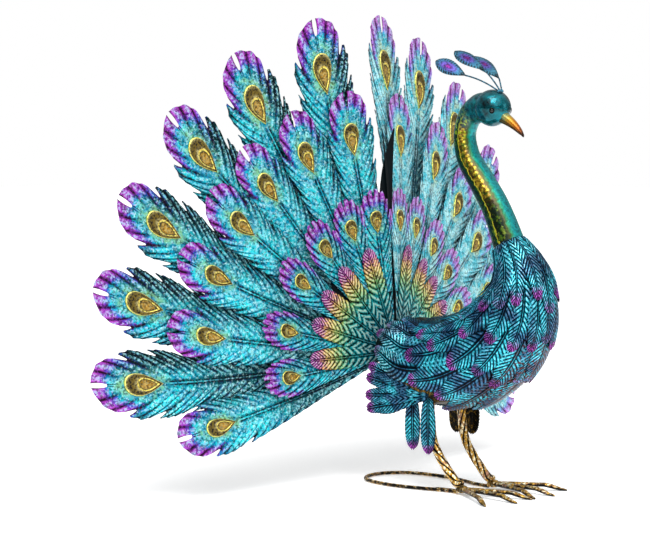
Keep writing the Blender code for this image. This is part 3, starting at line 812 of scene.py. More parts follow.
def gilt_backing():
    """Black with gold dabs low down, on the body's underside and the thigh feathers."""
    material, tree, shader = start_finish("black_enamel_dabbed_with_gold")
    if not tree:
        return material
    cloud = grain(tree, 2.2, 0.50, 0.62, 3.0)
    fine = grain(tree, 0.8, 0.40, 0.60, 3.0)
    dabs = add_node(
        tree, "ShaderNodeMath", {0: cloud, 1: fine}, operation="MULTIPLY"
    ).outputs[0]
    place = add_node(tree, "ShaderNodeTexCoord").outputs["Object"]
    height = add_node(tree, "ShaderNodeSeparateXYZ", {0: place}).outputs[2]
    low = add_node(
        tree, "ShaderNodeMapRange",
        {
            "Value": height, "From Min": GOLD_TOP[0], "From Max": GOLD_TOP[1],
            "To Min": 1.0, "To Max": 0.0,
        },
    ).outputs[0]
    dabs = add_node(
        tree, "ShaderNodeMath", {0: dabs, 1: low}, operation="MULTIPLY"
    ).outputs[0]
    colour = add_node(
        tree, "ShaderNodeMix",
        {0: dabs, 6: hex_colour("#0B0A06"), 7: hex_colour("#8A6A20")}, data_type="RGBA",
    ).outputs[2]
    tree.links.new(colour, shader.inputs["Base Color"])
    shader.inputs["Metallic"].default_value = 0.5
    shader.inputs["Specular IOR Level"].default_value = 0.12
    shader.inputs["Roughness"].default_value = 0.42
    bump = add_node(
        tree, "ShaderNodeBump", {"Height": fine, "Strength": 0.3, "Distance": 0.0003}
    )
    tree.links.new(bump.outputs[0], shader.inputs["Normal"])
    return material


def eye_enamel():
    """Gold enamel wiped back over black in the raised eyes: bright rims, speckled wells,
    and a painted glint on the raised parts.
    """
    material, tree, shader = start_finish("gold_enamel_over_black")
    if not tree:
        return material
    marks = add_node(tree, "ShaderNodeAttribute", attribute_name="paint")
    parts = add_node(tree, "ShaderNodeSeparateColor", {0: marks.outputs["Color"]})
    ring, relief, top = parts.outputs
    fine = grain(tree, 1.1, 0.40, 0.60, 2.0)
    pits = grain(tree, 1.1, 0.51, 0.57, 2.0, 0.37)
    ramp = add_node(
        tree, "ShaderNodeValToRGB", {0: ring},
        stops=(
            (0.0, "#A8780E"), (0.38, "#8C680A"), (0.47, "#1E1402"), (0.53, "#F8EA6C"),
            (0.57, "#D8B430"), (0.61, "#2E2204"), (0.72, "#746018"), (0.86, "#5A4C0E"),
            (0.90, "#241E04"), (0.94, "#F4EA6C"), (1.0, "#B0A838"),
        ),
    ).outputs[0]
    colour = add_node(
        tree, "ShaderNodeMix",
        {
            0: add_node(
                tree, "ShaderNodeMath", {0: top, 1: 0.5}, operation="MULTIPLY",
                use_clamp=True,
            ).outputs[0],
            6: ramp,
            7: hex_colour("#4A3A0C"),
        },
        data_type="RGBA",
    ).outputs[2]
    low = add_node(
        tree, "ShaderNodeMapRange", {"Value": relief, "To Min": 1.0, "To Max": 0.25}
    ).outputs[0]
    worn = add_node(
        tree, "ShaderNodeMath", {0: pits, 1: low}, operation="MULTIPLY", use_clamp=True
    ).outputs[0]
    colour = add_node(
        tree, "ShaderNodeMix", {0: worn, 6: colour, 7: hex_colour("#120E03")},
        data_type="RGBA",
    ).outputs[2]
    glint = add_node(
        tree, "ShaderNodeMath",
        {
            0: fine,
            1: add_node(
                tree, "ShaderNodeMath", {0: relief, 1: 0.5}, operation="MULTIPLY",
                use_clamp=True,
            ).outputs[0],
        },
        operation="MULTIPLY",
    ).outputs[0]
    colour = add_node(
        tree, "ShaderNodeMix", {0: glint, 6: colour, 7: hex_colour("#FFF0A0")},
        data_type="RGBA",
    ).outputs[2]
    tree.links.new(colour, shader.inputs["Base Color"])
    shader.inputs["Metallic"].default_value = 0.45
    shader.inputs["Roughness"].default_value = 0.36
    bump = add_node(
        tree, "ShaderNodeBump", {"Height": fine, "Strength": 0.4, "Distance": 0.0004}
    )
    tree.links.new(bump.outputs[0], shader.inputs["Normal"])
    return material


def tail_enamel(lit_half):
    """The tail's enamel; the left half's copy is painted paler, as painted light, where the
    light falls more squarely on that half.
    """
    if lit_half:
        return feather_enamel(
            "turquoise_enamel_painted_as_lit", "#3CBCD0", "#B8ECF0", "#0A4050",
            ("#6090DC", "#9C78DC", "#CC80D8"), "#D0E4A4", 0.8,
        )
    return feather_enamel(
        "turquoise_enamel_over_black", "#008CAC", "#18C4D0", "#010E14",
        ("#2050BC", "#6C34B4", "#B040BC"), "#98B840", 1.0,
    )


def rosette_enamel():
    """The same enamel, faded from teal through green and yellow to pink tips."""
    material, tree, shader = start_finish("rainbow_faded_enamel_over_black")
    if not tree:
        return material
    marks = add_node(tree, "ShaderNodeAttribute", attribute_name="paint")
    parts = add_node(tree, "ShaderNodeSeparateColor", {0: marks.outputs["Color"]})
    ridge = parts.outputs[1]
    fine = grain(tree, 1.3, 0.40, 0.60, 2.0)
    place = add_node(
        tree, "ShaderNodeMath", {0: fine, 1: 0.06, 2: marks.outputs["Alpha"]},
        operation="MULTIPLY_ADD",
    ).outputs[0]
    ramp = add_node(
        tree, "ShaderNodeValToRGB", {0: place},
        stops=(
            (0.0, "#044456"), (0.34, "#0090A8"), (0.57, "#10B0B0"), (0.68, "#74BC70"),
            (0.78, "#E0CC68"), (0.86, "#E8A068"), (0.905, "#C048A0"), (1.0, "#AC40B4"),
        ),
    ).outputs[0]
    # Painted highlight: pale colour on the ridge tops
    bright = add_node(
        tree, "ShaderNodeMapRange", {"Value": ridge, "From Min": 0.75, "From Max": 1.0}
    ).outputs[0]
    ramp = add_node(
        tree, "ShaderNodeMix",
        {
            0: add_node(
                tree, "ShaderNodeMath", {0: bright, 1: 0.55}, operation="MULTIPLY",
                use_clamp=True,
            ).outputs[0],
            6: ramp,
            7: hex_colour("#F0FAE0"),
        },
        data_type="RGBA",
    ).outputs[2]
    groove = add_node(
        tree, "ShaderNodeMapRange",
        {"Value": ridge, "From Min": 0.40, "From Max": 0.80, "To Min": 1.0, "To Max": 0.0},
    ).outputs[0]
    broken = add_node(
        tree, "ShaderNodeMath",
        {
            0: groove,
            1: add_node(
                tree, "ShaderNodeMath", {0: fine, 1: 0.8, 2: 0.55},
                operation="MULTIPLY_ADD", use_clamp=True,
            ).outputs[0],
        },
        operation="MULTIPLY", use_clamp=True,
    ).outputs[0]
    colour = add_node(
        tree, "ShaderNodeMix", {0: broken, 6: ramp, 7: hex_colour("#04100E")},
        data_type="RGBA",
    ).outputs[2]
    pits = grain(tree, 1.25, 0.55, 0.60, 2.0, 0.37)
    colour = add_node(
        tree, "ShaderNodeMix",
        {
            0: add_node(
                tree, "ShaderNodeMath", {0: pits, 1: 0.7}, operation="MULTIPLY",
                use_clamp=True,
            ).outputs[0],
            6: colour,
            7: hex_colour("#06161C"),
        },
        data_type="RGBA",
    ).outputs[2]
    tree.links.new(colour, shader.inputs["Base Color"])
    shader.inputs["Metallic"].default_value = 0.45
    shader.inputs["Specular IOR Level"].default_value = 0.12
    shader.inputs["Roughness"].default_value = 0.40
    bump = add_node(
        tree, "ShaderNodeBump", {"Height": fine, "Strength": 0.3, "Distance": 0.0004}
    )
    tree.links.new(bump.outputs[0], shader.inputs["Normal"])
    return material


def body_enamel():
    """Blue black enamel with the pressed ribs wiped back to bright cyan, and painted white
    glints on the rib tops.
    """
    material, tree, shader = start_finish("blue_black_enamel_rubbed_ribs")
    if not tree:
        return material
    marks = add_node(tree, "ShaderNodeAttribute", attribute_name="paint")
    parts = add_node(tree, "ShaderNodeSeparateColor", {0: marks.outputs["Color"]})
    tip, ridge, shade = parts.outputs
    fine = grain(tree, 1.3, 0.40, 0.60, 2.0)
    cloud = grain(tree, 11.0, 0.42, 0.58, 2.0, 0.2)
    tone = marks.outputs["Alpha"]
    rib = add_node(
        tree, "ShaderNodeMix",
        {0: cloud, 6: hex_colour("#007CB8"), 7: hex_colour("#18D8F0")}, data_type="RGBA",
    ).outputs[2]
    # Painted glints: white on the rib tops, scaled by the fourth paint value, which is high
    # towards the rump and at the collar
    bright = add_node(
        tree, "ShaderNodeMapRange", {"Value": ridge, "From Min": 0.78, "From Max": 0.98}
    ).outputs[0]
    painted_highlight = add_node(
        tree, "ShaderNodeMapRange", {"Value": tone, "From Min": 0.35, "To Min": 0.12}
    ).outputs[0]
    glint = add_node(
        tree, "ShaderNodeMath",
        {
            0: bright,
            1: add_node(
                tree, "ShaderNodeMath", {0: fine, 1: 0.6, 2: 0.4}, operation="MULTIPLY_ADD",
                use_clamp=True,
            ).outputs[0],
        },
        operation="MULTIPLY",
    ).outputs[0]
    glint = add_node(
        tree, "ShaderNodeMath", {0: glint, 1: painted_highlight}, operation="MULTIPLY"
    ).outputs[0]
    rib = add_node(
        tree, "ShaderNodeMix", {0: glint, 6: rib, 7: hex_colour("#CCFCFF")},
        data_type="RGBA",
    ).outputs[2]
    base = add_node(
        tree, "ShaderNodeMix",
        {0: cloud, 6: hex_colour("#01060E"), 7: hex_colour("#03202E")}, data_type="RGBA",
    ).outputs[2]
    height = add_node(
        tree, "ShaderNodeMapRange", {"Value": ridge, "From Min": 0.52, "From Max": 0.84}
    ).outputs[0]
    broken = add_node(
        tree, "ShaderNodeMath",
        {
            0: height,
            1: add_node(
                tree, "ShaderNodeMath", {0: fine, 1: 0.7, 2: 0.45},
                operation="MULTIPLY_ADD", use_clamp=True,
            ).outputs[0],
        },
        operation="MULTIPLY", use_clamp=True,
    ).outputs[0]
    band = add_node(
        tree, "ShaderNodeMapRange",
        {"Value": tone, "From Min": 0.05, "From Max": 0.45, "To Min": 0.10, "To Max": 1.0},
    ).outputs[0]
    band = add_node(
        tree, "ShaderNodeMath",
        {
            0: band,
            1: add_node(
                tree, "ShaderNodeMath", {0: cloud, 1: 0.45, 2: 0.55},
                operation="MULTIPLY_ADD", use_clamp=True,
            ).outputs[0],
        },
        operation="MULTIPLY",
    ).outputs[0]
    broken = add_node(
        tree, "ShaderNodeMath", {0: broken, 1: band}, operation="MULTIPLY"
    ).outputs[0]
    colour = add_node(
        tree, "ShaderNodeMix", {0: broken, 6: base, 7: rib}, data_type="RGBA",
    ).outputs[2]
    violet = add_node(
        tree, "ShaderNodeMix",
        {0: broken, 6: hex_colour("#160628"), 7: hex_colour("#B858C4")}, data_type="RGBA",
    ).outputs[2]
    wobble = add_node(
        tree, "ShaderNodeMath", {0: fine, 1: 0.4, 2: tip}, operation="MULTIPLY_ADD"
    ).outputs[0]
    spread = add_node(
        tree, "ShaderNodeMapRange", {"Value": wobble, "From Min": 0.30, "From Max": 1.15}
    ).outputs[0]
    colour = add_node(
        tree, "ShaderNodeMix", {0: spread, 6: colour, 7: violet}, data_type="RGBA",
    ).outputs[2]
    rust = add_node(
        tree, "ShaderNodeMath", {0: shade, 1: grain(tree, 1.4, 0.50, 0.60, 2.0, 0.6)},
        operation="MULTIPLY", use_clamp=True,
    ).outputs[0]
    colour = add_node(
        tree, "ShaderNodeMix", {0: rust, 6: colour, 7: hex_colour("#5A2C28")},
        data_type="RGBA",
    ).outputs[2]
    pits = grain(tree, 1.25, 0.58, 0.63, 2.0, 0.37)
    colour = add_node(
        tree, "ShaderNodeMix",
        {
            0: add_node(
                tree, "ShaderNodeMath", {0: pits, 1: 0.7}, operation="MULTIPLY",
                use_clamp=True,
            ).outputs[0],
            6: colour,
            7: hex_colour("#01060A"),
        },
        data_type="RGBA",
    ).outputs[2]
    tree.links.new(colour, shader.inputs["Base Color"])
    shader.inputs["Metallic"].default_value = 0.6
    shader.inputs["Specular IOR Level"].default_value = 0.12
    shader.inputs["Roughness"].default_value = 0.32
    bump = add_node(
        tree, "ShaderNodeBump", {"Height": fine, "Strength": 0.3, "Distance": 0.0003}
    )
    tree.links.new(bump.outputs[0], shader.inputs["Normal"])
    return material


def neck_enamel():
    """Candy enamel on hammered tube: speckled turquoise in front, then gold dents and
    studs, partly gold paint and partly a painted highlight, and a gold line on black,
    and green black behind."""
    material, tree, shader = start_finish("candy_enamel_on_hammered_steel")
    if not tree:
        return material
    marks = add_node(tree, "ShaderNodeAttribute", attribute_name="paint")
    parts = add_node(tree, "ShaderNodeSeparateColor", {0: marks.outputs["Color"]})
    turn, dent, rise = parts.outputs
    fine = grain(tree, 0.8, 0.38, 0.62, 2.0)
    wave = grain(tree, 2.6, 0.30, 0.70, 3.0)
    place = add_node(
        tree, "ShaderNodeMath", {0: wave, 1: 0.05, 2: turn}, operation="MULTIPLY_ADD"
    ).outputs[0]
    ramp = add_node(
        tree, "ShaderNodeValToRGB", {0: place},
        stops=(
            (0.0, "#0A8A94"), (0.14, "#109894"), (0.20, "#1C7C58"), (0.245, "#2E4008"),
            (0.31, "#4A3604"), (0.42, "#2A2002"), (0.495, "#3A2C04"), (0.510, "#F0D83C"),
            (0.520, "#C8C030"), (0.536, "#0A2A08"), (0.66, "#042418"), (1.0, "#02120E"),
        ),
    ).outputs[0]
    speck = add_node(
        tree, "ShaderNodeMath", {0: grain(tree, 1.2, 0.50, 0.57, 2.0, 0.4), 1: 0.6},
        operation="MULTIPLY", use_clamp=True,
    ).outputs[0]
    front = add_node(
        tree, "ShaderNodeMapRange",
        {"Value": turn, "From Min": 0.04, "From Max": 0.22, "To Min": 1.0, "To Max": 0.0},
    ).outputs[0]
    speck = add_node(
        tree, "ShaderNodeMath", {0: speck, 1: front}, operation="MULTIPLY"
    ).outputs[0]
    colour = add_node(
        tree, "ShaderNodeMix", {0: speck, 6: ramp, 7: hex_colour("#123C44")},
        data_type="RGBA",
    ).outputs[2]
    # Gold on the studs and in the hammer dents: partly gold paint, partly a painted
    # highlight of the hammered metal
    gold = add_node(
        tree, "ShaderNodeMix",
        {0: fine, 6: hex_colour("#8A6206"), 7: hex_colour("#F0D240")}, data_type="RGBA",
    ).outputs[2]
    shine = add_node(
        tree, "ShaderNodeMapRange", {"Value": dent, "From Min": 0.15, "From Max": 0.85}
    ).outputs[0]
    colour = add_node(
        tree, "ShaderNodeMix", {0: shine, 6: colour, 7: gold}, data_type="RGBA",
    ).outputs[2]
    foot = add_node(
        tree, "ShaderNodeMapRange",
        {"Value": rise, "From Min": 0.14, "From Max": 0.22, "To Min": 1.0, "To Max": 0.0},
    ).outputs[0]
    stripe = add_node(
        tree, "ShaderNodeValToRGB", {0: place},
        stops=((0.24, "#000000"), (0.30, "#FFFFFF"), (0.49, "#FFFFFF"), (0.50, "#000000")),
    ).outputs[0]
    stripe = add_node(
        tree, "ShaderNodeMath", {0: stripe, 1: foot}, operation="MULTIPLY"
    ).outputs[0]
    colour = add_node(
        tree, "ShaderNodeMix", {0: stripe, 6: colour, 7: hex_colour("#061C0A")},
        data_type="RGBA",
    ).outputs[2]
    patch = grain(tree, 2.4, 0.54, 0.64, 3.0, 0.7)
    back = add_node(
        tree, "ShaderNodeMapRange", {"Value": turn, "From Min": 0.22, "From Max": 0.30}
    ).outputs[0]
    leaf = add_node(
        tree, "ShaderNodeMath", {0: patch, 1: back}, operation="MULTIPLY"
    ).outputs[0]
    colour = add_node(
        tree, "ShaderNodeMix",
        {
            0: add_node(
                tree, "ShaderNodeMath", {0: leaf, 1: 0.6}, operation="MULTIPLY",
                use_clamp=True,
            ).outputs[0],
            6: colour,
            7: hex_colour("#2A6A1C"),
        },
        data_type="RGBA",
    ).outputs[2]
    high = add_node(
        tree, "ShaderNodeValToRGB", {0: rise},
        stops=((0.14, "#7A7A7A"), (0.20, "#000000"), (0.48, "#000000"), (0.60, "#FFFFFF")),
    ).outputs[0]
    flecks = add_node(
        tree, "ShaderNodeMath", {0: grain(tree, 2.0, 0.53, 0.58, 3.0, 0.3), 1: high},
        operation="MULTIPLY",
    ).outputs[0]
    flecks = add_node(
        tree, "ShaderNodeMath", {0: flecks, 1: back}, operation="MULTIPLY"
    ).outputs[0]
    colour = add_node(
        tree, "ShaderNodeMix", {0: flecks, 6: colour, 7: hex_colour("#A8C020")},
        data_type="RGBA",
    ).outputs[2]
    top = add_node(
        tree, "ShaderNodeMapRange", {"Value": rise, "From Min": 0.60, "From Max": 0.76}
    ).outputs[0]
    teal = add_node(
        tree, "ShaderNodeMix",
        {0: wave, 6: hex_colour("#022E38"), 7: hex_colour("#0A7A80")}, data_type="RGBA",
    ).outputs[2]
    colour = add_node(
        tree, "ShaderNodeMix", {0: top, 6: colour, 7: teal}, data_type="RGBA",
    ).outputs[2]
    tree.links.new(colour, shader.inputs["Base Color"])
    shader.inputs["Metallic"].default_value = 0.7
    shader.inputs["Specular IOR Level"].default_value = 0.3
    rough = add_node(
        tree, "ShaderNodeMapRange",
        {"Value": turn, "From Min": 0.22, "From Max": 0.34, "To Min": 0.42, "To Max": 0.20},
    ).outputs[0]
    tree.links.new(rough, shader.inputs["Roughness"])
    shader.inputs["Coat Weight"].default_value = 0.25
    shader.inputs["Coat Roughness"].default_value = 0.08
    bump = add_node(
        tree, "ShaderNodeBump", {"Height": wave, "Strength": 0.5, "Distance": 0.0008}
    )
    tree.links.new(bump.outputs[0], shader.inputs["Normal"])
    return material


def head_enamel():
    """Clear-coated metallic teal on the spun ball of the head."""
    material, tree, shader = start_finish("metallic_teal_lacquer")
    if not tree:
        return material
    wave = grain(tree, 5.0, 0.30, 0.70, 3.0)
    fine = grain(tree, 1.1, 0.36, 0.64, 4.0)
    colour = add_node(
        tree, "ShaderNodeMix",
        {0: wave, 6: hex_colour("#000B10"), 7: hex_colour("#007C88")}, data_type="RGBA",
    ).outputs[2]
    colour = add_node(
        tree, "ShaderNodeMix",
        {
            0: add_node(
                tree, "ShaderNodeMath", {0: fine, 1: 0.2}, operation="MULTIPLY",
                use_clamp=True,
            ).outputs[0],
            6: colour,
            7: hex_colour("#022026"),
        },
        data_type="RGBA",
    ).outputs[2]
    tree.links.new(colour, shader.inputs["Base Color"])
    shader.inputs["Metallic"].default_value = 0.75
    shader.inputs["Specular IOR Level"].default_value = 0.12
    shader.inputs["Roughness"].default_value = 0.16
    shader.inputs["Coat Weight"].default_value = 0.35
    shader.inputs["Coat Roughness"].default_value = 0.05
    bump = add_node(
        tree, "ShaderNodeBump", {"Height": wave, "Strength": 0.5, "Distance": 0.0012}
    )
    tree.links.new(bump.outputs[0], shader.inputs["Normal"])
    return material


def beak_enamel():
    """Green yellow to orange brown enamel, faded by hand along the beak."""
    material, tree, shader = start_finish("orange_brown_faded_enamel")
    if not tree:
        return material
    marks = add_node(tree, "ShaderNodeAttribute", attribute_name="paint")
    parts = add_node(tree, "ShaderNodeSeparateColor", {0: marks.outputs["Color"]})
    fine = grain(tree, 0.9, 0.36, 0.64, 4.0)
    place = add_node(
        tree, "ShaderNodeMath", {0: fine, 1: 0.15, 2: parts.outputs[0]},
        operation="MULTIPLY_ADD",
    ).outputs[0]
    ramp = add_node(
        tree, "ShaderNodeValToRGB", {0: place},
        stops=(
            (0.0, "#1C4438"), (0.14, "#7E8E60"), (0.32, "#B08A28"), (0.55, "#B06A12"),
            (0.80, "#84440E"), (1.0, "#1E0E04"),
        ),
    ).outputs[0]
    colour = add_node(
        tree, "ShaderNodeMix", {0: parts.outputs[1], 6: ramp, 7: hex_colour("#191408")},
        data_type="RGBA",
    ).outputs[2]
    tree.links.new(colour, shader.inputs["Base Color"])
    shader.inputs["Metallic"].default_value = 0.5
    shader.inputs["Specular IOR Level"].default_value = 0.3
    shader.inputs["Roughness"].default_value = 0.3
    bump = add_node(
        tree, "ShaderNodeBump", {"Height": fine, "Strength": 0.3, "Distance": 0.0003}
    )
    tree.links.new(bump.outputs[0], shader.inputs["Normal"])
    return material


def crest_enamel():
    """Slate blue enamel with a violet spot and short dark strokes at the edge."""
    material, tree, shader = start_finish("slate_blue_enamel_over_black")
    if not tree:
        return material
    marks = add_node(tree, "ShaderNodeAttribute", attribute_name="paint")
    parts = add_node(tree, "ShaderNodeSeparateColor", {0: marks.outputs["Color"]})
    ring, stroke = parts.outputs[0], parts.outputs[1]
    fine = grain(tree, 0.9, 0.36, 0.64, 4.0)
    place = add_node(
        tree, "ShaderNodeMath", {0: fine, 1: 0.12, 2: ring}, operation="MULTIPLY_ADD"
    ).outputs[0]
    ramp = add_node(
        tree, "ShaderNodeValToRGB", {0: place},
        stops=(
            (0.0, "#2A0A40"), (0.14, "#842084"), (0.26, "#3A1C66"), (0.42, "#5C4AA0"),
            (0.66, "#2E6088"), (1.0, "#4688A0"),
        ),
    ).outputs[0]
    pits = grain(tree, 1.0, 0.54, 0.59, 2.0, 0.37)
    colour = add_node(
        tree, "ShaderNodeMix",
        {
            0: add_node(
                tree, "ShaderNodeMath", {0: pits, 1: 0.7}, operation="MULTIPLY",
                use_clamp=True,
            ).outputs[0],
            6: ramp,
            7: hex_colour("#10061A"),
        },
        data_type="RGBA",
    ).outputs[2]
    colour = add_node(
        tree, "ShaderNodeMix", {0: stroke, 6: colour, 7: hex_colour("#060C10")},
        data_type="RGBA",
    ).outputs[2]
    tree.links.new(colour, shader.inputs["Base Color"])
    shader.inputs["Metallic"].default_value = 0.4
    shader.inputs["Specular IOR Level"].default_value = 0.2
    shader.inputs["Roughness"].default_value = 0.4
    bump = add_node(
        tree, "ShaderNodeBump", {"Height": fine, "Strength": 0.3, "Distance": 0.0003}
    )
    tree.links.new(bump.outputs[0], shader.inputs["Normal"])
    return material


def antique_gold():
    """Gold paint wiped back over black on forged rod: gold on the high parts only, with
    white-gold specks as painted glints.
    """
    material, tree, shader = start_finish("antique_gold_over_black_steel")
    if not tree:
        return material
    marks = add_node(tree, "ShaderNodeAttribute", attribute_name="paint")
    parts = add_node(tree, "ShaderNodeSeparateColor", {0: marks.outputs["Color"]})
    fine = grain(tree, 1.3, 0.38, 0.62, 4.0)
    patch = grain(tree, 2.2, 0.45, 0.55, 3.0, 0.4)
    place = add_node(
        tree, "ShaderNodeMath",
        {
            0: patch,
            1: 0.34,
            2: add_node(
                tree, "ShaderNodeMath", {0: parts.outputs[0], 1: 0.8}, operation="MULTIPLY",
                use_clamp=True,
            ).outputs[0],
        },
        operation="MULTIPLY_ADD",
    ).outputs[0]
    worn = add_node(
        tree, "ShaderNodeMapRange", {"Value": place, "From Min": 0.40, "From Max": 0.80}
    ).outputs[0]
    gold = add_node(
        tree, "ShaderNodeMix",
        {0: fine, 6: hex_colour("#8A5A14"), 7: hex_colour("#E4B450")}, data_type="RGBA",
    ).outputs[2]
    blush = grain(tree, 6.0, 0.52, 0.66, 2.0, 0.9)
    gold = add_node(
        tree, "ShaderNodeMix",
        {
            0: add_node(
                tree, "ShaderNodeMath", {0: blush, 1: 0.5}, operation="MULTIPLY",
                use_clamp=True,
            ).outputs[0],
            6: gold,
            7: hex_colour("#A87880"),
        },
        data_type="RGBA",
    ).outputs[2]
    # Painted glints: white-gold specks over the gold
    edge = add_node(
        tree, "ShaderNodeMix",
        {0: grain(tree, 1.4, 0.54, 0.58, 2.0, 0.2), 6: gold, 7: hex_colour("#FFF0C8")},
        data_type="RGBA",
    ).outputs[2]
    colour = add_node(
        tree, "ShaderNodeMix", {0: worn, 6: hex_colour("#0A0704"), 7: edge},
        data_type="RGBA",
    ).outputs[2]
    tree.links.new(colour, shader.inputs["Base Color"])
    shader.inputs["Metallic"].default_value = 0.7
    shader.inputs["Specular IOR Level"].default_value = 0.25
    shader.inputs["Roughness"].default_value = 0.38
    bump = add_node(
        tree, "ShaderNodeBump", {"Height": fine, "Strength": 0.5, "Distance": 0.0005}
    )
    tree.links.new(bump.outputs[0], shader.inputs["Normal"])
    return material


def pupil_enamel():
    """Gloss black dot of enamel in the eye."""
    material, tree, shader = start_finish("gloss_black_enamel")
    if not tree:
        return material
    fine = grain(tree, 1.0, 0.36, 0.64, 2.0)
    colour = add_node(
        tree, "ShaderNodeMix",
        {0: fine, 6: hex_colour("#050606"), 7: hex_colour("#0C0E0E")}, data_type="RGBA",
    ).outputs[2]
    tree.links.new(colour, shader.inputs["Base Color"])
    shader.inputs["Roughness"].default_value = 0.08
    return material


# ----------------------------------------------------------- feather shapes


def barb_rows(pattern):
    """Rows of barbs from root to tip: stem, end, ridge phase, and notch pairs."""
    stems, widths, heights, phases, notches = [], [], [], [], {}
    steps = pattern["ridge_rows"]
    for ridges, notch, controls in pattern["groups"]:
        if stems:
            notches[len(stems) - 1] = notch
        count = ridges * steps
        t = np.arange(count + 1) / count * (len(controls) - 1)
        values = along_stations(controls, t)
        stems += list(values[:, 0])
        widths += list(values[:, 1])
        heights += list(values[:, 2])
        phases += list((np.arange(count + 1) % steps) / steps)
    return (*(np.array(v) for v in (stems, widths, heights, phases)), notches)


def teardrop(turn, half_width, length):
    """Outline of a drop with its point at the root end, at 0."""
    x = half_width * np.sin(turn) * np.sin(turn / 2) ** 1.1 / 0.77
    y = length * (1 - np.cos(turn)) / 2
    return x, y


def raised_eye(name, start, length, half_width, lift, relief):
    """Pressed drop-shaped eye: a rim, a well, an inner rim and a domed drop."""
    around, rings = 40, 20
    obj, u, v = new_sheet(name, around, rings)
    x, y = teardrop(u * 2 * pi, half_width, length)
    inner_scale, inner_start = 0.56, length * 0.10
    centre_y = inner_start + length * inner_scale * 0.62
    split = 0.56
    inside = np.clip(v / split, 0, 1)
    outside = np.clip((v - split) / (0.94 - split), 0, 1)
    rim = np.clip((v - 0.94) / 0.06, 0, 1)
    xi, yi = x * inner_scale, y * inner_scale + inner_start
    px = xi * inside + (x - xi) * outside
    py = centre_y + (yi - centre_y) * inside + (y - yi) * outside
    px, py = px * (1 + 0.03 * rim), py + (y - length * 0.6) * 0.03 * rim
    dome = 0.55 * np.cos(np.clip(v / split, 0, 1) * pi / 2)
    ridge = np.exp(-((v - 0.60) / 0.045) ** 2) + 0.95 * np.exp(-((v - 0.92) / 0.045) ** 2)
    height = lift + relief * (0.25 + dome + 0.75 * ridge)
    height = height * (1 - smooth(0.94, 1.0, v)) + EYE_SUNK * smooth(0.94, 1.0, v)
    move_points(obj, np.stack((px, start + py, height), 1) * MM)
    well = smooth(0.64, 0.72, v) * (1 - smooth(0.86, 0.90, v))
    upper = smooth(0.55, 0.95, py / length) * well
    paint(obj, v, np.clip(ridge + dome, 0, 1), upper, 1)
    close_up(obj)
    # The open lower edge is closed by a flat underside
    only(obj)
    bpy.ops.object.mode_set(mode="EDIT")
    bpy.ops.mesh.select_mode(type="EDGE")
    bpy.ops.mesh.select_all(action="DESELECT")
    bpy.ops.mesh.select_non_manifold()
    bpy.ops.mesh.edge_face_add()
    bpy.ops.object.mode_set(mode="OBJECT")
    close_up(obj)
    obj.data.shade_smooth()
    obj.data.materials.append(eye_enamel())
    obj.data.materials.append(backing_enamel())
    for face in obj.data.polygons:
        face.material_index = int(face.normal.z < -0.3)
    return obj


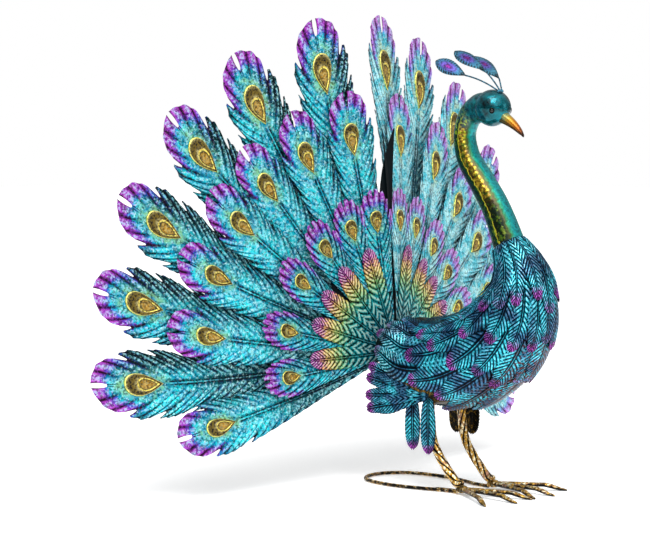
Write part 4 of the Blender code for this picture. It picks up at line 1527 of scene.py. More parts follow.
def flat_feather(kind, front, sheet):
    """One feather of a kind, laid flat with its root at the origin and tip on +Y."""
    pattern = PATTERNS[kind]
    stems, widths, heights, phases, notches = barb_rows(pattern)
    columns = pattern["columns"] + 1
    rows = len(stems) - 1
    obj, u, v = new_sheet(f"flat_{kind}", 2 * columns, rows)
    j = np.rint(u * 2 * columns).astype(int) - columns
    r = np.rint(v * rows).astype(int)
    along_barb = np.clip((np.abs(j) - 1) / (columns - 1), 0, 1)
    rachis = pattern["rachis"]
    bow = 0.10
    scallop = 0.11 if kind == "small_eye" else 0.04

    def barb_points(row, c):
        """Where a share c of the barb lies, before notches open."""
        sx, sy = rachis, stems[row]
        ex, ey = np.maximum(widths[row], rachis * 1.05), heights[row]
        wave = 1 - scallop * (0.5 + 0.5 * np.cos(2 * pi * phases[row])) * c**3
        reach = c * wave
        x = sx + (ex - sx) * reach
        y = sy + (ey - sy) * reach
        side = bow * 4 * reach * (1 - reach)
        return x + (ey - sy) * side * 0.5, y - (ex - sx) * side * 0.5

    x, y = barb_points(r, along_barb)
    for row, depth in notches.items():
        start = 1 - depth
        for this, other in ((row, row + 1), (row + 1, row)):
            chosen = r == this
            c = along_barb[chosen]
            ax, ay = barb_points(np.full(c.shape, this), c)
            bx, by = barb_points(np.full(c.shape, other), c)
            open_by = 0.12 + 0.88 * smooth(start - 0.05, 1.0, c) ** 0.7
            x[chosen] = (ax + bx) / 2 + (ax - bx) / 2 * open_by
            y[chosen] = (ay + by) / 2 + (ay - by) / 2 * open_by
    middle = j == 0
    x[middle] = 0.0
    y[middle] = stems[r[middle]]
    ridge = np.sin(pi * phases[r]) ** 0.8
    closeness = np.ones(len(x))
    halo = np.zeros(len(x))
    if pattern["eye"]:
        start, length, half = pattern["eye"]
        far = np.hypot(x / half, (y - start - length * 0.56) / (length * 0.56))
        closeness = smooth(1.0, 1.5, far)
        halo = 1 - smooth(1.05, 1.6, far)
    swell = smooth(0.0, 0.35, along_barb) * closeness
    z = pattern["pleat"] * ridge * swell
    z = z + np.where(middle, pattern["rachis"] * 0.55 * closeness, 0)
    tip_distance = pattern["length"] - y
    end_distance = pattern["length"] - heights[r]
    if kind in ("plume", "cover"):
        tip = smooth(0.40, 0.95, along_barb) * (1 - smooth(24, 42, end_distance))
        tip = np.maximum(tip, 1 - smooth(6, 26, tip_distance))
        tip = tip * np.where(j > 0, 1 - 0.5 * smooth(18, 34, tip_distance), 1)
    elif kind == "small_eye":
        tip = smooth(0.55, 0.95, along_barb) * (1 - smooth(26, 48, end_distance))
        tip = np.maximum(tip, 1 - smooth(7, 25, tip_distance))
    else:
        tip = 1 - smooth(4, 14, tip_distance)
    x = np.where(j < 0, -x, x)
    move_points(obj, np.stack((x, y, z), 1) * MM)
    shown = np.where(swell > 0, 1 - (1 - ridge) * np.clip(swell * 1.6, 0, 1), 1)
    shown = np.where(middle, 0.9, np.where(np.abs(j) == 1, 0.12, shown))
    if kind in ("plume", "cover"):
        kept = 0.30 if kind == "cover" else 0.70
        kept = kept + (1 - kept) * smooth(0.35, 0.85, along_barb)
        shown = np.where(np.abs(j) > 1, 1 - (1 - shown) * kept, shown)
    shown = shown * closeness + 0.75 * (1 - closeness)
    # Painted shade: the barb ends along the edges, away from the tip, are darkened where
    # feathers overlap
    shown = shown * (1 - 0.45 * smooth(0.86, 1.0, along_barb) * (1 - tip))
    # Fourth paint value: the rosette's place along its length; painted shade on eyed
    # feathers, darker on the +x side, which faces away from the light, and at the barb
    # ends; a middle tone on the rest
    if kind == "rosette":
        last = y / pattern["length"]
    elif pattern["eye"]:
        last = smooth(0.05, 0.65, x / pattern["half"]) * (j != 0)
        rim = smooth(0.70, 1.0, along_barb) * (1 - smooth(0.1, 0.5, tip))
        last = np.maximum(last, 0.75 * rim)
    else:
        last = 0.5
    paint(obj, tip, shown, halo, last)
    if notches:
        mesh = obj.data
        count = len(mesh.polygons)
        loops = np.array([p.vertices[:] for p in mesh.polygons])
        face_row = r[loops].min(1)
        face_c = along_barb[loops].mean(1)
        doomed = np.zeros(count, bool)
        for row, depth in notches.items():
            doomed |= (face_row == row) & (face_c > 1 - depth)
        cut_faces(obj, doomed)
    obj.data.materials.append(front)
    obj.data.materials.append(gilt_backing() if kind == "thigh" else backing_enamel())
    apply_modifier(
        obj, "SOLIDIFY", thickness=sheet * MM, offset=-1, material_offset=1,
        material_offset_rim=0,
    )
    soft_shade(obj, 50)
    if pattern["eye"]:
        eye = raised_eye("eye", *pattern["eye"], 0.3, 1.5)
        obj = join(f"flat_{kind}", [obj, eye])
    return obj


def copy_feather(master, name):
    """A copy of a piece, with a mesh of its own."""
    copy = master.copy()
    copy.data = master.data.copy()
    copy.name = copy.data.name = name
    bpy.context.collection.objects.link(copy)
    return copy


def discard(obj):
    """Remove a master piece and its mesh."""
    mesh = obj.data
    bpy.data.objects.remove(obj, do_unlink=True)
    bpy.data.meshes.remove(mesh)


def fan_feather(master, name, kind, side, angle, staggered, nudge=0.0):
    """Copy a flat feather on to the fan."""
    feather = copy_feather(master, name)
    x, y, z = coordinates(feather).T
    crown = 0.0010 * np.clip(1 - (x / (PATTERNS[kind]["half"] * MM)) ** 2, 0, 1)
    lift = fan_lift(kind, y, staggered) + crown + z + nudge
    move_points(feather, fan_points(side, angle, x, y, lift))
    if kind != "rosette":
        # Painted shade: the side away from the light is painted darker, and so are
        # the roots, which other feathers cover and shade
        aside = (0.4 if side == LEFT else 1) * (1 if kind == "plume" else 0.5)
        low, high = {"plume": (0.56, 0.76), "cover": (0.44, 0.68)}.get(kind, (0.0, 0.3))
        root = 0.9 * (1 - smooth(low, high, y / (PATTERNS[kind]["length"] * MM)))

        def paint_shade(rows):
            rows[:, 3] = np.maximum(rows[:, 3] * aside, root)
            return rows

        tint(feather, paint_shade)
    return feather


def shade_sheet(name, kind, side, start, end, low, high, narrowing=0.8):
    """Black sheet behind the feathers of one half, between two angles and reaches: painted
    shade in the gaps between the feathers.
    """
    obj, u, v = new_sheet(name, 60, 10)
    angle = start + (end - start) * u * (1 - narrowing * v**2)
    y = (low + (high - low) * v) * MM
    lift = fan_lift(kind, y, False) - 0.0007
    move_points(obj, fan_points(side, angle, np.zeros(len(y)), y, lift))
    paint(obj, 0, 0.3, 0, 1)
    obj.data.materials.append(
        backing_enamel("painted_shade_between_the_rings", "#020304", "#06161C")
    )
    apply_modifier(obj, "SOLIDIFY", thickness=0.0005, offset=0)
    close_up(obj)
    soft_shade(obj)
    return obj


def body_lengths(v):
    """Distance along the body form at a place round its side, by station."""
    t = np.linspace(0, len(BODY_STATIONS) - 1, 120)
    points = body_points(t, np.full(t.shape, v), LEFT, np.zeros(t.shape))
    steps = np.linalg.norm(np.diff(points, axis=0), axis=1)
    return t, np.concatenate(([0], np.cumsum(steps)))


def body_feather(master, name, side, place, tip, violet, half_v, length, nudge):
    """Copy a flat feather on to the body, its tip towards the rump."""
    feather = copy_feather(master, name)
    x, y, z = coordinates(feather).T
    pattern = PATTERNS["body"]
    y = y / (pattern["length"] * MM)
    across = x / (pattern["half"] * MM)
    t, reach = body_lengths(place)
    start = np.interp(tip, t, reach)
    station = np.interp(start + (1 - y) * length * MM, reach, t)
    low, middle, high = ROW_LIFTS
    lift = low * (1 - y) * (1 - 2 * y) + middle * 4 * y * (1 - y) + high * y * (2 * y - 1)
    lift = lift + 0.0012 * np.clip(1 - across**2, 0, 1) * y * (1.6 - y) + z + nudge
    v = place + side * across * half_v
    move_points(feather, body_points(station, v, side, lift))

    def shade(rows):
        rows[:, 0] *= violet
        belly = smooth(1.6, 2.8, station) * (1 - smooth(4.2, 5.4, station))
        rows[:, 2] = smooth(0.66, 0.92, v) * belly
        # Fourth value: darker along the back's middle, and high where painted glints go,
        # towards the rump and, less, at the collar
        bright = 1 - smooth(1.3, 2.3, station) + 0.35 * smooth(5.0, 6.0, station)
        bright = bright * smooth(0.20, 0.28, np.abs(v))
        rows[:, 3] = 0.5 * smooth(0.10, 0.25, np.abs(v)) + 0.5 * bright
        return rows

    tint(feather, shade)
    return feather


def plate_feather(master, name, origin, along, outward, scale=1.0, bend=0.0):
    """Copy a flat feather on to a plane through a point."""
    feather = copy_feather(master, name)
    x, y, z = coordinates(feather).T
    along, outward = unit(np.array(along, float)), unit(np.array(outward, float))
    across = np.cross(along, outward)
    y = y * scale
    points = (
        np.array(origin) + x[:, None] * across + y[:, None] * along
        + (z + bend * y * y)[:, None] * outward
    )
    move_points(feather, points)
    return feather


# ------------------------------------------------------------ tubes and balls


def tube(name, centres, radii, sides, across, lobes=None):
    """Closed tube through centres, with (across, up) radii and flat ends."""
    centres = np.array(centres, float)
    radii = np.array(radii, float)
    if radii.ndim == 1:
        radii = np.stack((radii, radii), 1)
    way = unit(np.gradient(centres, axis=0))
    across = np.broadcast_to(np.array(across, float), way.shape)
    first = unit(across - way * (across * way).sum(1, keepdims=True))
    second = np.cross(way, first)
    ring = np.concatenate(([0], np.arange(len(centres)), [len(centres) - 1]))
    size = np.ones(len(ring))
    size[[0, -1]] = 0
    obj, u, v = new_sheet(name, sides, len(ring) - 1)
    k = np.rint(v * (len(ring) - 1)).astype(int)
    row = ring[k]
    angle = u * 2 * pi
    swell = size[k] if lobes is None else size[k] * lobes(angle, row)
    points = (
        centres[row]
        + first[row] * (radii[row, 0] * np.cos(angle) * swell)[:, None]
        + second[row] * (radii[row, 1] * np.sin(angle) * swell)[:, None]
    )
    move_points(obj, points)
    return obj, angle, row


def finish_tube(obj, material, angle=50):
    close_up(obj)
    soft_shade(obj, angle)
    obj.data.materials.append(material)
    return obj


def rounded(radii, share=0.35):
    """Radii whose last one shrinks to a blunt end."""
    radii = np.array(radii, float)
    radii[-1] *= share
    return radii


# ------------------------------------------------------------------ settings


class PeacockSizes(bpy.types.PropertyGroup):
    sheet: bpy.props.FloatProperty(
        name="Sheet", description="Thickness of the pressed sheet, in millimetres",
        default=0.6, min=0.2, max=1.2,
    )
    neck_sides: bpy.props.IntProperty(
        name="Neck sides", description="Facets round the neck", default=72, min=12, max=96,
    )
    hammer: bpy.props.FloatProperty(
        name="Hammer marks", description="Depth of the dents on the neck, in millimetres",
        default=0.30, min=0.0, max=1.0,
    )
    light: bpy.props.FloatProperty(
        name="Light", description="Strength of the studio lights",
        default=1.0, min=0.0, max=4.0,
    )


class PeacockColours(bpy.types.PropertyGroup):
    floor: bpy.props.FloatVectorProperty(
        name="Floor", description="Colour of the studio floor", subtype="COLOR", size=4,
        default=hex_colour("#FFFFFF"), min=0.0, max=1.0,
    )


# ----------------------------------------------------------------- operators


class PEACOCK_OT_tail(bpy.types.Operator):
    """Make the four layers of tail feathers"""

    bl_idname = "peacock.tail"
    bl_label = "Tail fan"

    def execute(self, context):
        sheet = context.scene.peacock_sizes.sheet
        for side, word in SIDES.items():
            # The left half takes the copy painted paler as lit
            front = tail_enamel(side == LEFT)
            slot = "tail_pale" if side == LEFT else "tail_turquoise"
            for kind in ("plume", "cover"):
                master = flat_feather(kind, front, sheet)
                for number, angle in enumerate(FAN_ANGLES[kind][side], 1):
                    staggered = kind == "cover" and number % 2 == 0
                    feather = fan_feather(
                        master, f"{kind}_{word}_{number}", kind, side, angle, staggered
                    )
                    settle(feather, slot, f"tail_{kind}_{word}_{number}")
                discard(master)
            for kind, node, finish in (
                ("small_eye", "tail_small_eyes", front),
                ("rosette", "tail_rosette", rosette_enamel()),
            ):
                master = flat_feather(kind, finish, sheet)
                parts = [
                    fan_feather(
                        master, f"{kind}_{number}", kind, side, angle, False,
                        0.0004 * (number % 2),
                    )
                    for number, angle in enumerate(FAN_ANGLES[kind][side])
                ]
                discard(master)
                # Black sheets behind the ring, and a strip beside the middle line, stand in
                # as painted shade
                last = FAN_ANGLES[kind][side][-1] + RING_SHEET_PAST
                reach = PATTERNS[kind]["length"]
                parts.append(shade_sheet(
                    "backing", kind, side, RING_SHEET_EDGE, last, RING_SHEET_START,
                    RING_SHEET_SHARE[kind] * reach,
                ))
                if kind == "small_eye":
                    parts.append(shade_sheet(
                        "bar", kind, side, STRIP_EDGE, STRIP_WIDTH[side], *STRIP_REACH,
                        STRIP_NARROWING,
                    ))
                ring = join(f"{kind}_ring_{word}", parts)
                settle(ring, slot, f"{node}_{word}")
        return {"FINISHED"}


class PEACOCK_OT_body(bpy.types.Operator):
    """Cover the body with overlapping pressed feathers"""

    bl_idname = "peacock.body"
    bl_label = "Body feathers"

    def execute(self, context):
        sheet = context.scene.peacock_sizes.sheet
        master = flat_feather("body", body_enamel(), sheet)
        for side, word in SIDES.items():
            for name, half_v, length, feathers in BODY_ROWS:
                parts = [
                    body_feather(
                        master, f"{name}_{number}", side, place, tip, violet, half_v,
                        length, 0.0005 * (number % 2)
                        + (0.0006 if side == LEFT and place > 0.95 else 0),
                    )
                    for number, (place, tip, violet) in enumerate(feathers)
                ]
                row = join(f"{name}_row_{word}", parts)
                settle(row, "feather_teal", f"{name}_feathers_{word}")
        discard(master)
        # These two CAD nodes keep their shape, and only get a finish in their slot
        finishes = {"body": gilt_backing(), "tail_root_plate": backing_enamel()}
        for node, finish in finishes.items():
            bpy.data.objects[node].material_slots[0].material = finish
        return {"FINISHED"}


class PEACOCK_OT_lower_feathers(bpy.types.Operator):
    """Make the wing tips under the rump and the hanging thigh feathers"""

    bl_idname = "peacock.lower_feathers"
    bl_label = "Wing tips and thigh feathers"

    def execute(self, context):
        sheet = context.scene.peacock_sizes.sheet
        master = flat_feather("wing", body_enamel(), sheet)
        for side, word in SIDES.items():
            out, ahead, up = WING_ROOT
            parts = []
            for number, angle in enumerate(WING_FAN):
                a = radians(angle)
                along = (side * WING_OUTWARD, -cos(a), sin(a))
                origin = at(side * (out + 0.0004 * number), ahead, up)
                parts.append(
                    plate_feather(master, f"wing_{number}", origin, along, (side, 0, 0.05))
                )
            settle(join(f"wing_feathers_{word}", parts), "feather_teal", f"wing_tip_{word}")
        discard(master)
        master = flat_feather("thigh", body_enamel(), sheet)
        for side, word in SIDES.items():
            for number, (ahead, right, left) in enumerate(THIGH_PLATES, 1):
                length = right if side == RIGHT else left
                feather = plate_feather(
                    master, f"thigh_{word}_{number}",
                    at(side * THIGH_SIDE, ahead, THIGH_TOP), (0, 0, -1), (side, 0, 0),
                    length / (PATTERNS["thigh"]["length"] * MM),
                )
                settle(feather, "feather_teal", f"thigh_feather_{word}_{number}")
        discard(master)
        return {"FINISHED"}


class PEACOCK_OT_neck(bpy.types.Operator):
    """Make the hammered neck tube"""

    bl_idname = "peacock.neck"
    bl_label = "Neck"

    def execute(self, context):
        sizes = context.scene.peacock_sizes
        t = np.linspace(0, len(NECK_STATIONS) - 1, 200)
        ahead, up, radius = along_stations(NECK_STATIONS, t).T
        centres = np.stack((0 * ahead, SET_BACK - ahead, up), 1)
        obj, _, row = tube("neck_tube", centres, radius, sizes.neck_sides, (1, 0, 0))
        points = coordinates(obj)
        middle = centres[row]
        out = points - middle
        reach = np.linalg.norm(out, axis=1, keepdims=True)
        # The front of the neck faces -Y and down; turn is 0 there and 1 at the back
        way = unit(np.gradient(centres, axis=0))
        front = np.cross(way, (1, 0, 0))
        front = front * np.where(front[:, 1:2] > 0, -1, 1)
        facing = (unit(out + 1e-9) * front[row]).sum(1)
        turn = np.arccos(np.clip(facing, -1, 1)) / pi
        steps = np.linalg.norm(np.diff(centres, axis=0), axis=1)
        along = np.concatenate(([0], np.cumsum(steps)))[row]
        # A row of round hammered studs on each side, in the black stripe
        number = np.rint(along / STUD_STEP)
        level = 0.325 + 0.02 * np.sin(number * 2.4)
        aside = (turn - level) * pi * radius[row]
        apart = np.hypot(aside, along - number * STUD_STEP)
        studs = np.exp(-(apart / (0.40 * STUD_STEP)) ** 2)
        share = row / len(t)
        studs = studs * smooth(0.16, 0.24, share) * (1 - smooth(0.56, 0.64, share))
        dents = np.array([noise.voronoi(Vector(p) * 230)[0][0] for p in points])
        band = np.exp(-((turn - 0.38) / 0.11) ** 2)
        dent = np.clip(1 - dents / 0.5, 0, 1) * band * (1 - studs)
        height = sizes.hammer * MM * (2.2 * studs - dent)
        out = np.where(reach > 1e-5, out / np.maximum(reach, 1e-9), 0)
        move_points(obj, points + out * height[:, None])
        # Gold on the studs and dent centres, partly gold paint and partly a painted
        # highlight
        dabs = np.clip(1.5 * band * (0.75 - dents), 0, 1) * smooth(0.15, 0.23, share)
        paint(obj, turn, np.maximum(studs, dabs), row / (len(t) - 1), 1)
        finish_tube(obj, neck_enamel())
        settle(obj, "neck_green", "neck")
        return {"FINISHED"}


class PEACOCK_OT_head(bpy.types.Operator):
    """Make the head ball, its eyes, and the beak"""

    bl_idname = "peacock.head"
    bl_label = "Head and beak"

    def execute(self, context):
        centre = at(0, *HEAD_CENTRE)
        deselect()
        bpy.ops.mesh.primitive_uv_sphere_add(
            segments=64, ring_count=40, radius=HEAD_RADIUS, location=tuple(centre)
        )
        ball = bpy.context.object
        bpy.ops.object.transform_apply(location=True, rotation=True, scale=True)
        tip = at(0, *BEAK_TIP)
        beakward = unit(tip - centre)
        points = coordinates(ball)
        out = unit(points - centre)
        # The ball is drawn out a little where the beak and the neck join it
        toward_beak = np.clip((out @ beakward - 0.82) / 0.18, 0, 1)
        points = points + beakward * (0.0012 * toward_beak**2)[:, None]
        move_points(ball, points)
        paint(ball, 0, 0, 0, 1)
        ball.data.shade_smooth()
        ball.data.materials.append(head_enamel())
        parts = [ball]
        for side in SIDES:
            turn, drop = radians(EYE_TURN), radians(EYE_DROP)
            outward = np.array(
                (side * sin(turn) * cos(drop), -cos(turn) * cos(drop), -sin(drop))
            )
            along = unit(np.cross(outward, (0, 0, 1)))
            upward = np.cross(along, outward)
            seat = centre + outward * (HEAD_RADIUS - 0.0002)
            bead = [(0.0, 0.9), (0.0006, 0.86), (0.0010, 0.6), (0.0012, 0.25)]
            pupil, angle, row = tube(
                "pupil", [seat + outward * rise for rise, width in bead],
                [0.0022 * width for rise, width in bead], 24, along,
            )
            paint(pupil, 0, 0, 0, 1)
            parts.append(finish_tube(pupil, pupil_enamel(), 80))
            ring, u, v = new_sheet("eye_ring", 40, 12)
            a, b = u * 2 * pi, v * 2 * pi
            radius = 0.0025 + 0.0005 * np.cos(b)
            spot = (
                seat + (along * 0.9) * (np.cos(a) * radius)[:, None]
                + upward * (np.sin(a) * radius)[:, None]
                + outward * (0.0004 + 0.0005 * np.sin(b))[:, None]
            )
            move_points(ring, spot)
            paint(ring, 0.2, 1, 0, 1)
            parts.append(finish_tube(ring, antique_gold(), 80))
        settle(join("head_ball", parts), "head_teal", "head")
        base = centre + beakward * (HEAD_RADIUS - 0.0010)
        upward = unit(np.cross(beakward, (1, 0, 0)))
        upward = upward * (1 if upward[2] > 0 else -1)
        halves = []
        for name, up_share, dark in (("upper", 1, 0.0), ("lower", -1, 1.0)):
            t = np.linspace(0, 1, 40)
            reach = t if up_share > 0 else t * 0.88
            curve = 0.0014 * 4 * t * (1 - t) - 0.0008 * t**6
            spine = base + (tip - base) * reach[:, None]
            spine = spine + upward * (curve + up_share * 0.0021 * (1 - t) ** 0.8)[:, None]
            width = 0.0056 * (1 - t) ** 0.55 + 0.0003
            deep = (0.0042 if up_share > 0 else 0.0034) * (1 - t) ** 0.5 + 0.0003
            obj, angle, row = tube(name, spine, np.stack((width, deep), 1), 24, (1, 0, 0))
            shade = np.full(len(angle), 0.85) if dark else np.zeros(len(angle))
            paint(obj, t[row], shade, 0, 1)
            halves.append(finish_tube(obj, beak_enamel(), 70))
        settle(join("beak_halves", halves), "beak_gold", "beak")
        return {"FINISHED"}


class PEACOCK_OT_crest(bpy.types.Operator):
    """Make the three crest wires with their leaves"""

    bl_idname = "peacock.crest"
    bl_label = "Crest"

    def execute(self, context):
        for word, place, leaf_base, leaf_tip, facing in CREST_FEATHERS:
            root = at(place * 0.0024, *CREST_KNOT)
            base, tip = at(*leaf_base), at(*leaf_tip)
            way = unit(tip - base)
            across = unit(np.cross(way, (facing[0], -facing[1], facing[2])))
            middle = root * 0.5 + base * 0.5
            middle[2] += 0.10 * np.linalg.norm(root - base)
            s = np.linspace(0, 1, 24)[:, None]
            path = root * (1 - s) ** 2 + middle * 2 * s * (1 - s) + base * s**2
            inside = base + (tip - base) * 0.12
            path = np.concatenate((path, [inside]))
            path[0] = path[0] - np.array((0, 0, 0.0008))
            wire, _, row = tube("wire", path, np.full(len(path), 0.0008), 10, across)
            paint(wire, 0.9, 0.55 + 0.3 * np.sin(row * 1.7), 0, 1)
            parts = [finish_tube(wire, crest_enamel(), 70)]
            knot, _, _ = tube(
                "knot", [root + np.array((0, 0, h)) for h in (-0.0012, 0.0, 0.0012, 0.002)],
                (0.0016, 0.0019, 0.0015, 0.0005), 16, (1, 0, 0),
            )
            paint(knot, 0.9, 0.3, 0, 1)
            parts.append(finish_tube(knot, crest_enamel(), 70))
            leaf, u, v = new_sheet("leaf", 24, 110)
            x, y = u * 2 - 1, v
            length = np.linalg.norm(tip - base)
            half = 0.0085 * np.sin(pi * np.clip(y, 0.004, 0.999) ** 1.45) ** 0.62
            rib = smooth(-0.2, 0.5, np.cos((y * 13 + np.abs(x) * 1.2) * 2 * pi))
            rim = np.maximum(smooth(0.50, 0.75, np.abs(x)), smooth(0.84, 0.94, y))
            edge = np.maximum(rim, 1 - smooth(0.10, 0.30, y))
            up = np.cross(across, way)
            dome = 0.0014 * (1 - x * x) * np.sin(pi * y)
            spot = np.hypot(x * half / 0.0042, (y - 0.58) * length / 0.0085)
            raised = dome + 0.0003 * np.exp(-((spot - 0.8) / 0.25) ** 2)
            points = (
                base + way * (y * length)[:, None] + across * (x * half)[:, None]
                + up * (raised + 0.00012 * rib * edge)[:, None]
            )
            move_points(leaf, points)
            stroke = np.maximum(edge * (0.15 + 0.85 * rib), 1 - smooth(0.06, 0.22, y))
            paint(leaf, np.clip(spot / 2.2, 0, 1), stroke, 0, 1)
            leaf.data.materials.append(crest_enamel())
            apply_modifier(leaf, "SOLIDIFY", thickness=0.0006, offset=0)
            close_up(leaf)
            soft_shade(leaf, 50)
            parts.append(leaf)
            settle(join(f"crest_feather_{word}", parts), "crest_blue", f"crest_{word}")
        return {"FINISHED"}


class PEACOCK_OT_legs(bpy.types.Operator):
    """Make the twisted rod legs, wire toes and the stand loop"""

    bl_idname = "peacock.legs"
    bl_label = "Legs, feet and stand loop"

    def execute(self, context):
        gold = antique_gold()
        for side, word in SIDES.items():
            t = np.linspace(0, len(LEG_ROUTE) - 1, 110)
            ahead, up = along_stations(LEG_ROUTE, t).T
            centres = np.stack((side * LEG_SIDE + 0 * t, SET_BACK - ahead, up), 1)
            steps = np.linalg.norm(np.diff(centres, axis=0), axis=1)
            reach = np.concatenate(([0], np.cumsum(steps)))

            def twist(angle, row, reach=reach, side=side):
                turned = angle - side * reach[row] / LEG_PITCH * 2 * pi
                return 0.88 + 0.15 * np.abs(np.cos(LEG_STRANDS / 2 * turned)) ** 0.7

            radii = np.full(len(t), LEG_RADIUS)
            leg, angle, row = tube("leg", centres, radii, 60, (1, 0, 0), twist)
            turned = angle - side * reach[row] / LEG_PITCH * 2 * pi
            strand = np.abs(np.cos(LEG_STRANDS / 2 * turned))
            paint(leg, smooth(0.30, 0.75, strand), 0, 0, 1)
            finish_tube(leg, gold, 70)
            leg.name = leg.data.name = f"twisted_leg_{word}"
            settle(leg, "leg_gold", f"leg_{word}")
            heel = at(side * LEG_SIDE, 0, 0)
            knob, angle, row = tube(
                "knob", [heel + np.array((0, 0, h)) for h in
                         (0.0022, 0.0030, 0.0050, 0.0072, 0.0088, 0.0094)],
                (0.0050, 0.0062, 0.0067, 0.0062, 0.0050, 0.0030), 28, (1, 0, 0),
            )
            paint(knob, 0.55, 0, 0, 1)
            parts = [finish_tube(knob, gold, 70)]
            for number, turn in enumerate(TOE_ANGLES):
                a = radians(turn)
                along = np.array((side * sin(a), -cos(a), 0))
                s = np.linspace(0, 1, 46)
                width = np.interp(s, (0, 0.1, 0.62, 0.78, 0.9, 0.97, 1), (
                    0.0033, 0.0030, 0.0028, 0.0032, 0.0027, 0.0018, 0.0009))
                thick = np.interp(s, (0, 0.62, 0.78, 0.9, 0.97, 1), (
                    0.0025, 0.0022, 0.0024, 0.0018, 0.0012, 0.0007))
                lumps = 1 + 0.06 * np.sin(s * 31 + number)
                under = np.interp(s, (0, 0.70, 0.9, 1), (0.0030, 0.0034, 0.0002, 0.0002))
                under = under + 0.0004 * np.sin(pi * s)
                path = heel + along * (s * TOE_LENGTH)[:, None]
                path[:, 2] = under + thick
                toe, angle, row = tube(
                    "toe", path, np.stack((width * lumps, thick), 1), 16,
                    (-along[1], along[0], 0),
                )
                high = 0.55 + 0.45 * np.sin(angle)
                paint(toe, 0.72 * smooth(0.35, 0.9, high), 0, 0, 1)
                parts.append(finish_tube(toe, gold, 70))
            settle(join(f"wire_foot_{word}", parts), "leg_gold", f"foot_{word}")
        half = [(-s, a) for s, a in LOOP_ROUTE]
        route = half + [(-s, a) for s, a in reversed(half[:-1])]
        t = np.linspace(0, len(route) - 1, 180)
        s, ahead = along_stations(route, t).T
        centres = np.stack((s, SET_BACK - ahead, 0 * s + LOOP_HEIGHT), 1)
        lumps = 1 + 0.05 * np.sin(t * 9)
        radii = np.stack((LOOP_WIRE[0] * lumps, np.full(len(t), LOOP_WIRE[1])), 1)
        across = np.cross(unit(np.gradient(centres, axis=0)), (0, 0, 1))
        loop, angle, row = tube("loop", centres, radii, 16, across)
        paint(loop, 0.15 + 0.45 * np.abs(np.sin(angle)), 0, 0, 1)
        parts = [finish_tube(loop, gold, 70)]
        # Where the wire's two ends lap, a short second bar lies beside it
        t = np.linspace(0.15, 1.55, 40)
        s, ahead = along_stations(half, t).T
        centres = np.stack((s + LAP_ASIDE, SET_BACK - ahead, 0 * s + LOOP_HEIGHT), 1)
        lap = rounded(np.full(len(t), LAP_WIRE))
        bar, angle, _ = tube("bar", centres, lap, 14, (1, 0, 0))
        paint(bar, 0.15 + 0.45 * np.abs(np.sin(angle)), 0, 0, 1)
        parts.append(finish_tube(bar, gold, 70))
        settle(join("wire_loop", parts), "leg_gold", "stand_loop")
        return {"FINISHED"}


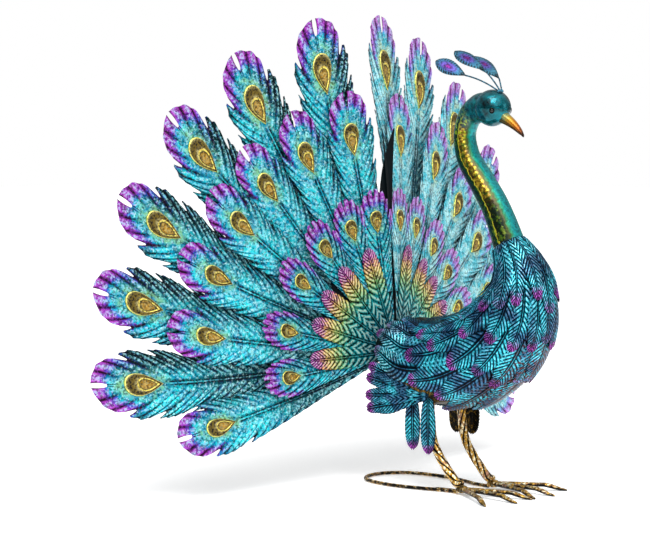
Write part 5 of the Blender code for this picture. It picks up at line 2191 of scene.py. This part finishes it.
class PEACOCK_OT_stage(bpy.types.Operator):
    """Make the pale floor, the soft lights and the camera"""

    bl_idname = "peacock.stage"
    bl_label = "Studio"

    def execute(self, context):
        deselect()
        bpy.ops.mesh.primitive_plane_add(size=FLOOR_SIZE, location=(0, 0, FLOOR_DROP))
        floor = context.object
        floor.name = "floor"
        material, tree, shader = start_finish("matt_white_paper")
        tint = tuple(context.scene.peacock_colours.floor)
        if tree:
            cloud = grain(tree, 400.0, 0.2, 0.8, 1.0)
            faint = tuple(c * 0.985 for c in tint[:3]) + (1,)
            tree.links.new(
                add_node(
                    tree, "ShaderNodeMix", {0: cloud, 6: tint, 7: faint}, data_type="RGBA",
                ).outputs[2],
                shader.inputs["Base Color"],
            )
            shader.inputs["Roughness"].default_value = 0.9
            # The floor glows a little: painted light that keeps the shadows on it faint
            shader.inputs["Emission Color"].default_value = tint
            shader.inputs["Emission Strength"].default_value = FLOOR_GLOW
        floor.data.materials.append(material)
        world = context.scene.world or bpy.data.worlds.new("studio")
        context.scene.world = world
        world.use_nodes = True
        # White behind the figure, and a greyer room for its enamel to reflect
        tree = world.node_tree
        sky = tree.nodes["Background"]
        strength = context.scene.peacock_sizes.light
        way = add_node(tree, "ShaderNodeTexCoord").outputs["Generated"]
        height = add_node(tree, "ShaderNodeSeparateXYZ", {0: way}).outputs[2]
        room = add_node(
            tree, "ShaderNodeMapRange",
            {
                "Value": height, "From Min": 0.0, "From Max": 0.9,
                "To Min": 0.10, "To Max": 0.85,
            },
        ).outputs[0]
        seen = add_node(tree, "ShaderNodeLightPath").outputs["Is Camera Ray"]
        level = add_node(
            tree, "ShaderNodeMix", {0: seen, 2: room, 3: 1.0}, data_type="FLOAT"
        ).outputs[0]
        sky.inputs[0].default_value = hex_colour("#FFFFFF")
        tree.links.new(level, sky.inputs[1])
        target = Vector(LIGHT_TARGET)
        for name, kind, place, size, power in LIGHTS:
            light = bpy.data.lights.new(name, kind)
            light.energy = power * strength
            if kind == "SUN":
                light.angle = size
            else:
                light.size = size
            lamp = bpy.data.objects.new(name, light)
            lamp.location = place
            toward = target - lamp.location
            lamp.rotation_euler = toward.to_track_quat("-Z", "Y").to_euler()
            context.collection.objects.link(lamp)
        camera = bpy.data.objects.new("camera", bpy.data.cameras.new("camera"))
        context.collection.objects.link(camera)
        camera.location = CAMERA_PLACE
        aim = Vector(CAMERA_AIM)
        camera.rotation_euler = (aim - camera.location).to_track_quat("-Z", "Y").to_euler()
        camera.data.sensor_width = CAMERA_SENSOR
        camera.data.lens = CAMERA_LENS
        camera.data.clip_start = 0.05
        context.scene.camera = camera
        context.scene.view_settings.view_transform = "Standard"
        return {"FINISHED"}


class PEACOCK_PT_panel(bpy.types.Panel):
    """Sidebar panel that lists the pieces"""

    bl_label = "Peacock"
    bl_idname = "PEACOCK_PT_panel"
    bl_space_type = "VIEW_3D"
    bl_region_type = "UI"
    bl_category = "Peacock"

    def draw(self, context):
        sizes, colours = context.scene.peacock_sizes, context.scene.peacock_colours
        for name in ("sheet", "neck_sides", "hammer", "light"):
            self.layout.prop(sizes, name)
        self.layout.prop(colours, "floor")
        for operator in OPERATORS:
            self.layout.operator(operator.bl_idname)


OPERATORS = (
    PEACOCK_OT_tail,
    PEACOCK_OT_body,
    PEACOCK_OT_lower_feathers,
    PEACOCK_OT_neck,
    PEACOCK_OT_head,
    PEACOCK_OT_crest,
    PEACOCK_OT_legs,
    PEACOCK_OT_stage,
)
CLASSES = (PeacockSizes, PeacockColours, *OPERATORS, PEACOCK_PT_panel)


def register():
    for item in CLASSES:
        bpy.utils.register_class(item)
    bpy.types.Scene.peacock_sizes = bpy.props.PointerProperty(type=PeacockSizes)
    bpy.types.Scene.peacock_colours = bpy.props.PointerProperty(type=PeacockColours)


def unregister():
    del bpy.types.Scene.peacock_colours
    del bpy.types.Scene.peacock_sizes
    for item in reversed(CLASSES):
        bpy.utils.unregister_class(item)


def main():
    register()
    for operator in OPERATORS:
        group, name = operator.bl_idname.split(".")
        getattr(getattr(bpy.ops, group), name)()
    deselect()


if __name__ == "__main__":
    main()
